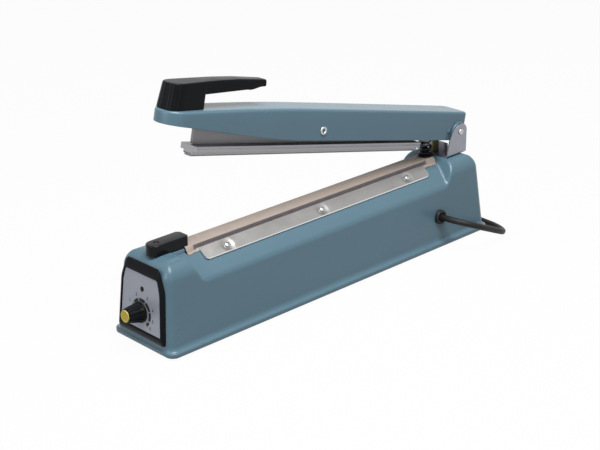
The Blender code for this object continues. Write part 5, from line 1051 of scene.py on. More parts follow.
# Radius and height of the cap
CAP_PROFILE = (
    (0.0, 0.0175), (0.0030, 0.0175), (0.0030, 0.0194), (0.0055, 0.0194), (0.0057, 0.0196), (0.0057, 0.0201),
    (0.0055, 0.0205), (0.0051, 0.0206), (0.0046, 0.0205), (0.0043, 0.0203), (0.0040, 0.0202),
    (0.0020, 0.0203), (0.0, 0.0203),
)
rings = []
for height, radius, flute in KNOB_PROFILE:
    ring = []
    for step in range(KNOB_SIDES):
        turn = 2 * math.pi * step / KNOB_SIDES
        reach = radius * (1 - flute * (0.5 - 0.5 * math.cos(KNOB_FLUTES * turn)) ** KNOB_FLUTE_ROUND)
        ring.append((reach * math.cos(turn), reach * math.sin(turn), height))
    rings.append(ring)
knob_at = LIP @ PANEL @ Matrix.Translation((0, KNOB_RISE, 0))
knob_bores = together(*(rod(KNOB_BORE, low, high) for low, high in KNOB_BORE_ENDS))
piece("knob_grip", *combined(rings_to_mesh(rings), knob_bores, "DIFFERENCE"), black_plastic, "timer_dial",
      "black_plastic", ("timer_knob",), knob_at, 40)
cap_rim = finish("yellow_rim", (0.34, 0.30, 0.055), (0.39, 0.35, 0.075), (0.30, 0.42), grain=1200.0,
                 specular=0.3)
cap_middle = finish("yellow_middle", (0.36, 0.245, 0.015), (0.41, 0.285, 0.022), (0.30, 0.42), grain=1200.0,
                    specular=0.3)
cap = piece("knob_cap_disc", *turned_mesh(CAP_PROFILE, 48), cap_rim, "timer_dial", "yellow_plastic",
            ("knob_cap",), knob_at, 30)
cap.data.materials.append(cap_middle)
axis = knob_at.inverted()
for face in cap.data.polygons:
    spot = axis @ face.center
    if spot.z > CAP_MIDDLE_HEIGHT and math.hypot(spot.x, spot.y) < CAP_MIDDLE_RADIUS:
        face.material_index = 1


# Sealing bed: woven PTFE cloth stretched over the element platform and clamped on both shoulders
# The cloth folds down the platform's sides, which carry a painted shade darker than its top, and out under
# the clamp plates.
# Beneath it lie the platform, its insulation and the element with its brass ends, kept as in the CAD.
CLOTH_THICKNESS = 0.0003
CLOTH_FRONT = 0.0480
CLOTH_REAR = 0.3810
CLOTH_TOP = 0.0841
# Length of the bent part at the front and at the rear
CLOTH_ENDS = (0.0105, 0.0115)
CLOTH_STATIONS = 110
CLOTH_WEAVE = 950.0
# Where the flap that the clamp plate holds begins, its width and the height of its ripples
FLAP_START = 0.0105
FLAP_WIDTH = 0.0022
FLAP_RIPPLE = 0.00012
# How far the bent ends spread out, over what length, and from where they follow the shoulder
END_SPREAD = 0.0026
END_RUN = 0.003
END_SEAT = 0.0100
# Half widths between which the cloth's folded sides carry painted shade
SHADED_SIDES = (0.0084, 0.0105)


def thick_sheet(line, thickness):
    """A closed section round a line of points, half the thickness to each side."""
    sides = ([], [])
    for index, point in enumerate(line):
        way = Vector(line[min(index + 1, len(line) - 1)]) - Vector(line[max(index - 1, 0)])
        across = Vector((-way.y, way.x)).normalized() * thickness / 2
        sides[0].append(tuple(Vector(point) + across))
        sides[1].append(tuple(Vector(point) - across))
    return sides[0] + sides[1][::-1]


rise = math.tan(roof_angle())
middle_top = CLOTH_TOP - CLOTH_THICKNESS / 2
middle_foot = RIDGE_HEIGHT + SEAT_GAP + CLOTH_THICKNESS / 2
# From the flap's edge on the shoulder, over the foot's bend and up the platform's side, to the middle
cloth_line = [(-0.0127, middle_foot - 0.0027 * rise), (-0.0114, middle_foot - 0.0014 * rise),
              (-0.0101, middle_foot), (-0.0093, middle_foot),
              (-0.00885, middle_foot + 0.0001), (-0.00875, middle_foot + 0.0005),
              (-0.00875, middle_top - 0.0007), (-0.0085, middle_top - 0.0002), (-0.0080, middle_top),
              (0.0, middle_top)]
cloth_line += [(-y, z) for y, z in cloth_line[-2::-1]]
rings = []
for step in range(CLOTH_STATIONS + 1):
    x = CLOTH_FRONT + (CLOTH_REAR - CLOTH_FRONT) * step / CLOTH_STATIONS
    into = min((x - CLOTH_FRONT - CLOTH_ENDS[0]) / END_RUN, (CLOTH_REAR - CLOTH_ENDS[1] - x) / END_RUN)
    spread = END_SPREAD * (0.5 - 0.5 * math.cos(math.pi * min(max(-into, 0), 1)))
    ring = []
    for y, z in thick_sheet(cloth_line, CLOTH_THICKNESS):
        loose = max(abs(y) - FLAP_START, 0) / FLAP_WIDTH
        fall = min(max((middle_top - z) / (middle_top - middle_foot), 0), 1)
        out = math.copysign(spread * fall * max(1 - loose, 0), y)
        sunk = rise * max(abs(y + out) - END_SEAT, 0) * (1 - loose) if fall > 0.9 else 0
        ring.append((x, y + out, z - sunk + FLAP_RIPPLE * loose * (1 + math.sin(x * 900 + y * 300))))
    rings.append(ring)
cloth_top = finish("cloth_top", (0.285, 0.235, 0.203), (0.365, 0.303, 0.259), (0.45, 0.62), patch=90.0,
                   grain=2600.0, depth=0.00002, specular=0.3)
for direction in ("X", "Y"):
    pattern(cloth_top, "SIN", CLOTH_WEAVE, direction, 0.00003)
# Darker copy of the cloth for its folded sides: painted shade
cloth_fold_shade = finish("cloth_fold_shade", (0.075, 0.068, 0.078), (0.16, 0.145, 0.150), (0.50, 0.65), patch=120.0,
                    grain=2600.0, depth=0.00002, specular=0.2)
cloth = piece("ptfe_sheet", *rings_to_mesh(rings), cloth_top, "base", "beige_cloth", ("ptfe_cloth",), LIP, 50)
cloth.data.materials.append(cloth_fold_shade)
from_lip = LIP.inverted()
# Faces on the folded sides take the darker copy, as painted shade
for face in cloth.data.polygons:
    spot = from_lip @ face.center
    if (CLOTH_FRONT + CLOTH_ENDS[0] < spot.x < CLOTH_REAR - CLOTH_ENDS[1]
            and SHADED_SIDES[0] < abs(spot.y) < SHADED_SIDES[1] and spot.z < CLOTH_TOP - 2 * CLOTH_THICKNESS):
        face.material_index = 1


def dress(material, *nodes):
    """Gives CAD nodes their finish."""
    for node in nodes:
        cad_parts[node].material_slots[0].link = "OBJECT"
        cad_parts[node].material_slots[0].material = material


bar_metal = finish("drawn_aluminium", (0.29, 0.29, 0.305), (0.36, 0.36, 0.375), (0.38, 0.50), 1.0, patch=45.0,
                   grain=1600.0, depth=0.000015, stretch=(0.04, 1, 1))
dress(bar_metal, "element_platform")
glass_cloth = finish("glass_cloth", (0.36, 0.31, 0.24), (0.44, 0.38, 0.30), (0.55, 0.70), grain=2400.0,
                     depth=0.00003)
pattern(glass_cloth, "SIN", 800.0, "Y", 0.00004)
dress(glass_cloth, "insulation_strip")
dress(finish("element_strip", (0.42, 0.40, 0.37), (0.55, 0.52, 0.48), (0.22, 0.34), 1.0, patch=300.0,
             grain=1500.0),
      "heating_element")
dress(brass, "element_clamp_front", "element_clamp_rear")


# Clamp plates: two bright pressed strips, with a shallow dish round each screw
# Each plate lies on the cloth's edge; its lower corners are rounded and its rim is turned down a little.
# Thin stainless sheet with a fine grain along its length; its edge faces carry a painted highlight in lighter
# steel.
CLAMP_FRONT = 0.0615
CLAMP_REAR = 0.3610
CLAMP_TOP = 0.0010
CLAMP_FOOT = 0.01449
CLAMP_CORNER = 0.0045
CLAMP_SEAT = 0.0009
CLAMP_THICKNESS = 0.0008
CLAMP_BOW = 0.0006
CLAMP_RIM = 0.0004
CLAMP_ROLL = 0.0005
DISH_RADII = (0.0028, 0.0084)
RIM_RUN = 0.0010
CLAMP_ROWS = 18
# Spacing of the plate's stations away from a dish, and within its reach
CLAMP_STEP = 0.006
DISH_STEP = 0.0004
DISH_REACH = 0.008
# Faces tilted further than this from the plate's face take the lighter steel of the painted highlight
HIGHLIGHT_EDGE_TILT = 0.85


def clamp_bow(x, along):
    """How far the plate stands up from its seat: none in a dish or at the lower rim."""
    nearest = min(math.hypot(x - place, along - CLAMP_SCREW_LINE) for place in CLAMP_SCREW_PLACES)
    out = min(max((nearest - DISH_RADII[0]) / (DISH_RADII[1] - DISH_RADII[0]), 0), 1)
    rim = min(max((CLAMP_FOOT - along) / RIM_RUN, 0), 1)
    return CLAMP_BOW * out * out * (3 - 2 * out) * rim * (2 - rim)


def clamp_form(side):
    """One plate in its shoulder's frame, with close stations at its ends and round its dishes."""
    corner = [CLAMP_CORNER * inward for inward, short in quarter(8)]
    stations = [CLAMP_FRONT + place for place in corner]
    for place in CLAMP_SCREW_PLACES:
        while stations[-1] < place - DISH_REACH - 0.0005:
            stations.append(min(stations[-1] + CLAMP_STEP, place - DISH_REACH))
        stations += [place - DISH_REACH + DISH_STEP * step for step in range(1, 41)]
    while stations[-1] < CLAMP_REAR - CLAMP_CORNER - 0.001:
        stations.append(min(stations[-1] + CLAMP_STEP, CLAMP_REAR - CLAMP_CORNER))
    stations += [CLAMP_REAR - place for place in corner[-2::-1]]
    rings = []
    for number, x in enumerate(stations):
        into = max(CLAMP_FRONT + CLAMP_CORNER - x, x - CLAMP_REAR + CLAMP_CORNER, 0)
        foot = CLAMP_FOOT - CLAMP_CORNER + math.sqrt(max(CLAMP_CORNER ** 2 - into ** 2, 0))
        above = []
        for row in range(CLAMP_ROWS + 1):
            along = CLAMP_TOP + (foot - CLAMP_TOP) * row / CLAMP_ROWS
            above.append((x, side * along, CLAMP_SEAT + CLAMP_THICKNESS + clamp_bow(x, along)))
        above[-1] = (*above[-1][:2], above[-1][2] - CLAMP_ROLL)
        above.insert(-1, (x, side * (foot - CLAMP_ROLL / 2), CLAMP_SEAT + CLAMP_THICKNESS - CLAMP_ROLL / 4))
        below = [(x, y, z - CLAMP_THICKNESS) for x, y, z in above]
        if number in (0, len(stations) - 1):
            below = [(x, y, CLAMP_RIM) for x, y, z in above]
        below[-1] = (*above[-1][:2], CLAMP_RIM)
        rings.append(above + below[::-1])
    return rings_to_mesh(rings)


plate_steel = finish("clamp_steel", (0.31, 0.305, 0.295), (0.38, 0.375, 0.365), (0.24, 0.38), 1.0, patch=70.0,
                     grain=1500.0, depth=0.00001, stretch=(0.05, 1, 1))
# Lighter copy of the plate's steel for its edge faces: a painted highlight
edge_highlight_steel = finish("edge_highlight_steel", (0.66, 0.66, 0.66), (0.78, 0.78, 0.78), (0.20, 0.30), 1.0, grain=1500.0)
for name, side in (("near", -1), ("far", 1)):
    at = LIP @ shoulder_frame(side)
    strip = piece(f"clamp_strip_{name}", *clamp_form(side), plate_steel, "base", "bright_steel",
                  (f"clamp_plate_{name}",), at, 28)
    strip.data.materials.append(edge_highlight_steel)
    upright = at.to_3x3() @ Vector((0, 0, 1))
    for face in strip.data.polygons:
        if abs(face.normal.dot(upright)) < HIGHLIGHT_EDGE_TILT:
            face.material_index = 1


# Screws and feet: slotted domed screws from one node tree, rubber feet from another
# Each tree makes one screw or foot from its named sizes and sets it at every point, turned by a fixed seed.
# Plated steel screws; black rubber feet with a sunk hole for the screw's head.
SLOT_WIDTH = 0.0007
SLOT_DEPTH = 0.0006
FOOT_SIZES = {"Radius": 0.0075, "Height": 0.0025, "Recess Radius": 0.0042, "Recess Depth": 0.0019,
              "Bore Radius": 0.0018}
SHANK_SHARE = 0.30
DOME_SHARE = 0.35
DOME_END = 0.985
SCREW_SIDES = 40
SCREW_ROWS = 20
FOOT_TAPER = 0.93
# Seats of the heads, above the shoulder for the clamp screws and above the base's underside for the others
CLAMP_SCREW_SEAT = 0.0020
COVER_SCREW_SEAT = 0.0923
BRACKET_SCREW_SEAT = 0.0854
FOOT_SCREW_SEAT = -0.0009
HANDLE_SCREW_SHARES = (0.922, 0.968)
HANDLE_SCREW_PLAY = 0.0006
FOOT_FROM_END = 0.022
FOOT_FROM_WALL = 0.006


def new_tree(name, sizes):
    """An empty tree with a geometry input, its named sizes and a material, and those inputs' sockets."""
    tree = bpy.data.node_groups.new(name, "GeometryNodeTree")
    tree.interface.new_socket("Geometry", in_out="INPUT", socket_type="NodeSocketGeometry")
    for size in sizes:
        tree.interface.new_socket(size, in_out="INPUT", socket_type="NodeSocketFloat")
    tree.interface.new_socket("Material", in_out="INPUT", socket_type="NodeSocketMaterial")
    tree.interface.new_socket("Geometry", in_out="OUTPUT", socket_type="NodeSocketGeometry")
    return tree, add(tree, "NodeGroupInput").outputs


def set_out(tree, given, form):
    """Puts one form at every point, along its outward direction, and hands the result on."""
    outward = add(tree, "GeometryNodeInputNamedAttribute", (("Name", "outward"),), data_type="FLOAT_VECTOR")
    facing = add(tree, "FunctionNodeAlignRotationToVector", (("Vector", outward.outputs["Attribute"]),),
                 axis="Z")
    copies = add(tree, "GeometryNodeInstanceOnPoints",
                 (("Points", given["Geometry"]), ("Instance", form),
                  ("Rotation", facing.outputs["Rotation"])))
    turn = add(tree, "FunctionNodeRandomValue", (("Min", 0.0), ("Max", math.pi), ("Seed", 7)),
               data_type="FLOAT")
    about = add(tree, "ShaderNodeCombineXYZ", (("Z", turn.outputs["Value"]),))
    turned = add(tree, "GeometryNodeRotateInstances",
                 (("Instances", copies.outputs["Instances"]), ("Rotation", about.outputs["Vector"])))
    real = add(tree, "GeometryNodeRealizeInstances", (("Geometry", turned.outputs["Instances"]),))
    dressed = add(tree, "GeometryNodeSetMaterial",
                  (("Geometry", real.outputs["Geometry"]), ("Material", given["Material"])))
    add(tree, "NodeGroupOutput", (("Geometry", dressed.outputs["Geometry"]),))


def screw_sizes(head_radius, head_height, shank_radius, shank_length):
    """The named sizes of one kind of screw; every head has the same slot."""
    return {"Head Radius": head_radius, "Head Height": head_height, "Shank Radius": shank_radius,
            "Shank Length": shank_length, "Slot Width": SLOT_WIDTH, "Slot Depth": SLOT_DEPTH}


def screw_tree():
    """A cylinder drawn into a shank and a dome by its own height, with a slot cut across the dome."""
    tree, given = new_tree("slotted_screws",
                           ("Head Radius", "Head Height", "Shank Radius", "Shank Length", "Slot Width",
                            "Slot Depth"))
    blank = add(tree, "GeometryNodeMeshCylinder",
                (("Vertices", SCREW_SIDES), ("Side Segments", SCREW_ROWS), ("Radius", 1.0), ("Depth", 1.0)))
    place = add(tree, "GeometryNodeInputPosition")
    parts = add(tree, "ShaderNodeSeparateXYZ", (("Vector", place.outputs[0]),))
    travel = reckon(tree, "ADD", parts.outputs["Z"], 0.5)
    in_head = reckon(tree, "GREATER_THAN", travel, (SHANK_SHARE + DOME_SHARE) / 2)
    climb = reckon(tree, "MULTIPLY", reckon(tree, "SUBTRACT", travel, DOME_SHARE),
                   DOME_END / (1 - DOME_SHARE))
    turn = reckon(tree, "MULTIPLY", climb, math.pi / 2)
    dome_radius = reckon(tree, "MULTIPLY", reckon(tree, "POWER", reckon(tree, "COSINE", turn), 0.55),
                         given["Head Radius"])
    dome_height = reckon(tree, "MULTIPLY", reckon(tree, "SINE", turn), given["Head Height"])
    left = reckon(tree, "SUBTRACT", reckon(tree, "DIVIDE", travel, SHANK_SHARE), 1.0)
    shank_height = reckon(tree, "MULTIPLY", left, given["Shank Length"])
    radius = add(tree, "ShaderNodeMix", ((0, in_head), (2, given["Shank Radius"]), (3, dome_radius)),
                 data_type="FLOAT")
    height = add(tree, "ShaderNodeMix", ((0, in_head), (2, shank_height), (3, dome_height)),
                 data_type="FLOAT")
    there = add(tree, "ShaderNodeCombineXYZ",
                (("X", reckon(tree, "MULTIPLY", parts.outputs["X"], radius.outputs[0])),
                 ("Y", reckon(tree, "MULTIPLY", parts.outputs["Y"], radius.outputs[0])),
                 ("Z", height.outputs[0])))
    shaped = add(tree, "GeometryNodeSetPosition",
                 (("Geometry", blank.outputs["Mesh"]), ("Position", there.outputs[0])))
    size = add(tree, "ShaderNodeCombineXYZ", (("X", reckon(tree, "MULTIPLY", given["Head Radius"], 4.0)),
                                              ("Y", given["Slot Width"]),
                                              ("Z", reckon(tree, "MULTIPLY", given["Slot Depth"], 2.0))))
    cutter = add(tree, "GeometryNodeMeshCube", (("Size", size.outputs[0]),))
    lift = add(tree, "ShaderNodeCombineXYZ", (("Z", given["Head Height"]),))
    raised = add(tree, "GeometryNodeTransform",
                 (("Geometry", cutter.outputs["Mesh"]), ("Translation", lift.outputs[0])))
    slotted = add(tree, "GeometryNodeMeshBoolean",
                  (("Mesh 1", shaped.outputs["Geometry"]), ("Mesh 2", raised.outputs["Geometry"])),
                  operation="DIFFERENCE", solver="EXACT")
    set_out(tree, given, slotted.outputs["Mesh"])
    return tree


def foot_tree():
    """A tapered foot with a sunk recess and a bore through it."""
    tree, given = new_tree("rubber_feet",
                           ("Radius", "Height", "Recess Radius", "Recess Depth", "Bore Radius"))
    tip_radius = reckon(tree, "MULTIPLY", given["Radius"], FOOT_TAPER)
    body = add(tree, "GeometryNodeMeshCone",
               (("Vertices", 48), ("Side Segments", 3), ("Radius Top", tip_radius),
                ("Radius Bottom", given["Radius"]), ("Depth", given["Height"])))
    shape = body.outputs["Mesh"]
    for radius, depth in (("Recess Radius", given["Recess Depth"]), ("Bore Radius", given["Height"])):
        cutter = add(tree, "GeometryNodeMeshCylinder",
                     (("Vertices", 32), ("Radius", given[radius]),
                      ("Depth", reckon(tree, "MULTIPLY", depth, 2.0))))
        lift = add(tree, "ShaderNodeCombineXYZ", (("Z", given["Height"]),))
        raised = add(tree, "GeometryNodeTransform",
                     (("Geometry", cutter.outputs["Mesh"]), ("Translation", lift.outputs[0])))
        shape = add(tree, "GeometryNodeMeshBoolean",
                    (("Mesh 1", shape), ("Mesh 2", raised.outputs["Geometry"])),
                    operation="DIFFERENCE", solver="EXACT").outputs["Mesh"]
    set_out(tree, given, shape)
    return tree


def grown(name, tree, places, sizes, material, body, slot, nodes):
    """Runs a tree over points with outward directions, and keeps the result as a plain mesh piece."""
    points = bpy.data.meshes.new(name)
    points.from_pydata([place for place, outward in places], [], [])
    outward = points.attributes.new("outward", "FLOAT_VECTOR", "POINT")
    outward.data.foreach_set("vector", [value for place, way in places for value in way])
    carrier = in_scene(name, points)
    grower = carrier.modifiers.new("grower", "NODES")
    grower.node_group = tree
    sockets = {item.name: item.identifier for item in tree.interface.items_tree if item.in_out == "INPUT"}
    for size, value in sizes.items():
        grower[sockets[size]] = value
    grower[sockets["Material"]] = material
    return piece(name, *baked(carrier), material, body, slot, nodes, sharp=38)


screws = screw_tree()
dark_steel = finish("dark_steel", (0.012, 0.012, 0.014), (0.024, 0.024, 0.028), (0.26, 0.36), 0.6,
                    grain=900.0)
clamp_places = []
for side in (-1, 1):
    at = LIP @ shoulder_frame(side)
    upright = at.to_3x3() @ Vector((0, 0, 1))
    for place in CLAMP_SCREW_PLACES:
        clamp_places.append((at @ Vector((place, side * CLAMP_SCREW_LINE, CLAMP_SCREW_SEAT)), upright))
grown("clamp_screws", screws, clamp_places, screw_sizes(0.0029, 0.0014, 0.0015, 0.006),
      rivet_steel, "base", "bright_steel", [f"clamp_screw_{number}" for number in range(1, 7)])
grown("cover_screw", screws, [(LIP @ Vector((COVER_SCREW_PLACE, 0, COVER_SCREW_SEAT)), (0, 0, 1))],
      screw_sizes(0.0024, 0.0012, 0.0014, 0.0107), dark_steel, "base", "bright_steel", ["end_cover_screw"])
bracket_places = []
for side in (-1, 1):
    place = Vector((BRACKET_SCREW_PLACE, side * BRACKET_SCREW_SPREAD, BRACKET_SCREW_SEAT))
    bracket_places.append((LIP @ place, (0, 0, 1)))
zinc = finish("zinc_steel", (0.26, 0.265, 0.30), (0.33, 0.335, 0.37), (0.30, 0.42), 1.0, patch=120.0,
              grain=1300.0, depth=0.00001)
grown("bracket_screws", screws, bracket_places, screw_sizes(0.0034, 0.0018, 0.0018, 0.0075),
      zinc, "base", "zinc_steel", ["bracket_screw_1", "bracket_screw_2"])
handle_places = []
for share in HANDLE_SCREW_SHARES:
    seat = arm_top(share * ARM_LENGTH) - ARM_WALL - HANDLE_SCREW_PLAY
    handle_places.append((ARM @ Vector((-share * ARM_LENGTH, 0, seat)), ARM.to_3x3() @ Vector((0, 0, -1))))
grown("handle_screws", screws, handle_places, screw_sizes(0.0030, 0.0016, 0.0015, 0.0118),
      zinc, "arm", "zinc_steel", ["handle_screw_1", "handle_screw_2"])
across = side_wall(0) - WALL - FOOT_FROM_WALL
corners = [(x, y) for x in (FOOT_FROM_END, BASE_LENGTH - FOOT_FROM_END) for y in (-across, across)]
grown("rubber_feet", foot_tree(), [(LIP @ Vector((x, y, 0)), (0, 0, -1)) for x, y in corners], FOOT_SIZES,
      soft_black, "base", "soft_black", [f"foot_{number}" for number in range(1, 5)])
grown("foot_screws", screws, [(LIP @ Vector((x, y, FOOT_SCREW_SEAT)), (0, 0, -1)) for x, y in corners],
      screw_sizes(0.0032, 0.0014, 0.0015, 0.0100), zinc, "base", "zinc_steel",
      [f"foot_screw_{number}" for number in range(1, 5)])
dress(zinc, "bottom_plate")


# End cover: glossy black moulding over the element's front end
# Its front is round in plan, its rear corners are cut, and one screw sits in a round recess.
# Hollow, with a doorway for the cloth; two enamelled rails of the housing carry its rear.
COVER_FRONT = 0.013
COVER_REAR = 0.0545
COVER_HALF_WIDTH = 0.0082
COVER_TOP = 0.0936
COVER_SOFT = 0.0012
COVER_NOSE_STEPS = 24
COVER_DOOR = 0.0475
RAIL_FRONT = 0.0340
RAIL_SIDES = (0.0062, 0.0074, 0.0084, 0.0088)
HUMP_TOP = BASE_HEIGHT + SEAT_GAP
# Two corners of the hollow and of the doorway; radius, low and high end of the screw's recess and bore
COVER_HOLLOW = ((0.031, -0.0068, 0.080), (0.0531, 0.0068, 0.0922))
COVER_DOORWAY = ((COVER_DOOR, -0.012, 0.079), (0.060, 0.012, CLOTH_TOP + SEAT_GAP))
COVER_RECESS = (0.0027, 0.0920, 0.097)
COVER_BORE = (0.0017, 0.080, 0.0930)
RAIL_STEPS = 8


def seat_height(x, y):
    """Height just above the housing's skin."""
    return clear_of_skin(lambda height: (x, y, height), 0.070, 0.090)


def cover_ring(inset, height):
    """The cover's outline drawn in by an inset, at one height."""
    half = COVER_HALF_WIDTH - inset
    cut = COVER_HALF_WIDTH / 3
    turns = [math.pi * step / COVER_NOSE_STEPS for step in range(COVER_NOSE_STEPS + 1)]
    outline = [(COVER_FRONT + COVER_HALF_WIDTH - half * math.sin(turn), half * math.cos(turn))
               for turn in turns]
    rear = COVER_REAR - inset
    outline += [(rear - cut, -half), (rear, cut - half), (rear, half - cut), (rear - cut, half)]
    return [(x, y, height) for x, y in outline]


rings = [cover_ring(0, HUMP_TOP), cover_ring(0, COVER_TOP - COVER_SOFT)]
for inward, short in quarter(5)[1:]:
    rings.append(cover_ring(COVER_SOFT * inward, COVER_TOP - COVER_SOFT * short))
cover_form = rings_to_mesh(rings)
cover_screw_axis = Matrix.Translation((COVER_SCREW_PLACE, 0, 0))
cover_cuts = (block(*COVER_HOLLOW), block(*COVER_DOORWAY), moved(cover_screw_axis, *rod(*COVER_RECESS, 40)),
              moved(cover_screw_axis, *rod(*COVER_BORE)))
for cut in cover_cuts:
    cover_form = combined(cover_form, cut, "DIFFERENCE")
gloss_black = finish("gloss_black", (0.0030, 0.0034, 0.0042), (0.0050, 0.0056, 0.0066), (0.10, 0.18),
                     grain=1800.0, depth=0.000005, specular=0.14)
piece("end_cover_moulding", *cover_form, gloss_black, "base", "black_plastic",
      ("end_cover",), LIP, 32)
rails = []
for side in (-1, 1):
    rings = []
    for step in range(RAIL_STEPS + 1):
        x = RAIL_FRONT + (COVER_DOOR - RAIL_FRONT) * step / RAIL_STEPS
        over = [(x, side * y, seat_height(RAIL_FRONT, y) - SEAT_GAP * (1 + (y == RAIL_SIDES[-1])))
                for y in RAIL_SIDES]
        under = [(x, side * y, seat_height(x, y) - SEAT_GAP * 4) for y in reversed(RAIL_SIDES)]
        rings.append(over + under)
    rails.append(rings_to_mesh(rings))
piece("cover_rails", *together(*rails), enamel, "base", "blue_enamel", (), LIP, 60)


# Hinge: bent zinc bracket with two ears, a stop tab and the pin
# The ears rise from the foot in a soft bend and are rounded about the pin, whose domed heads show outside.
# Zinc-plated sheet steel, screwed to the rear hump.
PIN_REACH = 0.0218
BRACKET_FRONT = 0.3884
BRACKET_REAR = 0.4175
BRACKET_HALF_WIDTH = 0.0215
BRACKET_SHEET = 0.0015
EAR_RADIUS = 0.0092
EAR_STEPS = 24
# Where the ear's rise begins to turn, and the angles its round top spans
EAR_RISE = ((0.3920, 0.1015), (0.3960, 0.1093))
EAR_SPAN = (130, -12)
EAR_REACH = 0.030
BRACKET_BENDS = (0.0026, 0.0011)
TAB_HALF_WIDTH = 0.0075
TAB_HEIGHTS = (0.0840, 0.0928)
TAB_ENDS = (0.4035, 0.4050)
TAB_CORNER = 0.0012
PIN_BORE = 0.0023
ONTO_SIDE = Matrix.Rotation(math.pi / 2, 4, "X")
ear = [(BRACKET_FRONT, HUMP_TOP - 0.001), (BRACKET_FRONT, HUMP_TOP), *EAR_RISE]
for step in range(EAR_STEPS + 1):
    turn = math.radians(EAR_SPAN[0] + (EAR_SPAN[1] - EAR_SPAN[0]) * step / EAR_STEPS)
    ear.append((PIN_PLACE + EAR_RADIUS * math.cos(turn), PIN_HEIGHT + EAR_RADIUS * math.sin(turn)))
ear += [(BRACKET_REAR, HUMP_TOP), (BRACKET_REAR, HUMP_TOP - 0.001)]
tall = PIN_HEIGHT + EAR_RADIUS + 0.002
outside = [(-BRACKET_HALF_WIDTH, tall), (-BRACKET_HALF_WIDTH, HUMP_TOP), (BRACKET_HALF_WIDTH, HUMP_TOP),
           (BRACKET_HALF_WIDTH, tall)]
inner_half = BRACKET_HALF_WIDTH - BRACKET_SHEET
inside = [(inner_half, tall), (inner_half, HUMP_TOP + BRACKET_SHEET), (-inner_half, HUMP_TOP + BRACKET_SHEET),
          (-inner_half, tall)]
outer_bend, inner_bend = BRACKET_BENDS
channel = rounded(outside + inside, [0.0, outer_bend, outer_bend, 0.0, 0.0, inner_bend, inner_bend, 0.0])
channel = rings_to_mesh([[(x, y, z) for y, z in channel]
                         for x in (BRACKET_FRONT - 0.001, BRACKET_REAR + 0.004)])
bracket = combined(channel, moved(ONTO_SIDE, *prism(ear, -EAR_REACH, EAR_REACH)), "INTERSECT")
tab = rounded([(-TAB_HALF_WIDTH, TAB_HEIGHTS[0]), (TAB_HALF_WIDTH, TAB_HEIGHTS[0]),
               (TAB_HALF_WIDTH, TAB_HEIGHTS[1]), (-TAB_HALF_WIDTH, TAB_HEIGHTS[1])],
              [0.0, 0.0, TAB_CORNER, TAB_CORNER])
bracket = combined(bracket, rings_to_mesh([[(x, y, z) for y, z in tab] for x in TAB_ENDS]), "UNION")
pin_axis = Matrix.Translation((PIN_PLACE, 0, PIN_HEIGHT)) @ ONTO_SIDE
holes = [block((LINK_SLOT[0], -LINK_SLOT[2], 0.080), (LINK_SLOT[1], LINK_SLOT[2], 0.090)),
         moved(pin_axis, *rod(PIN_BORE, -EAR_REACH, EAR_REACH))]
for side in (-1, 1):
    at = Matrix.Translation((BRACKET_SCREW_PLACE, side * BRACKET_SCREW_SPREAD, 0))
    holes.append(moved(at, *rod(BRACKET_SCREW_HOLE, 0.080, 0.090)))
piece("hinge_bracket_sheet", *combined(bracket, together(*holes), "DIFFERENCE"), zinc, "base", "zinc_steel",
      ("hinge_bracket",), LIP, 35, 0.00025)
pin_profile = [(0.0, -PIN_REACH - 0.0013), (0.0012, -PIN_REACH - 0.0013), (0.0022, -PIN_REACH - 0.0011),
               (0.0030, -PIN_REACH - 0.0007), (0.0034, -PIN_REACH - 0.0001), (0.0034, -PIN_REACH),
               (0.0020, -PIN_REACH)]
pin_profile += [(radius, -height) for radius, height in reversed(pin_profile)]
piece("hinge_pin_rivet", *turned_mesh(pin_profile, 40), rivet_steel, "base", "bright_steel", ("hinge_pin",),
      LIP @ pin_axis, 40)


# Pressure beam, press bar and its strip: what the arm presses on the cloth
# A plate on edge rocks on the mid pivot and carries a drawn bar, which holds a silicone strip in its groove.
# Drawn aluminium with long grain, on the beam a darker copy as painted shade under the arm; soft pinkish grey
# silicone.
BAR_FRONT = 0.3500
BAR_REAR = 0.0485
BAR_PLAY = 0.0003
# Front and rear end, lower and upper edge, and the corners from the upper front one round
BEAM_ENDS = (-0.3474, -0.0430)
BEAM_EDGES = (-0.0127, 0.0040)
BEAM_CORNERS = (0.001, 0.003, 0.001, 0.001)
BEAM_HALF_THICKNESS = 0.0016
HUB_RADIUS = 0.005
HUB_HALF_LENGTH = 0.0154
beam = rounded([(BEAM_ENDS[0], BEAM_EDGES[1]), (BEAM_ENDS[0], BEAM_EDGES[0]),
                (BEAM_ENDS[1], BEAM_EDGES[0]), (BEAM_ENDS[1], BEAM_EDGES[1])], BEAM_CORNERS)
pivot_axis = Matrix.Translation((-PIVOT_AHEAD, 0, PIVOT_RISE)) @ ONTO_SIDE
hub = moved(pivot_axis, *rod(HUB_RADIUS, -HUB_HALF_LENGTH, HUB_HALF_LENGTH, 32))
pivot_bore = moved(pivot_axis, *rod(PIN_BORE, -0.020, 0.020))
beam_form = combined(moved(ONTO_SIDE, *prism(beam, -BEAM_HALF_THICKNESS, BEAM_HALF_THICKNESS)), hub, "UNION")
# The bar's aluminium darkened for the beam: painted shade from the arm above
beam_shade_metal = finish("beam_aluminium_shaded", (0.18, 0.18, 0.19), (0.23, 0.23, 0.24), (0.38, 0.50), 1.0, patch=45.0,
                    grain=1600.0)
piece("beam_plate", *combined(beam_form, pivot_bore, "DIFFERENCE"), beam_shade_metal, "beam", "aluminium",
      ("pressure_beam",), ARM, 35, 0.0003)
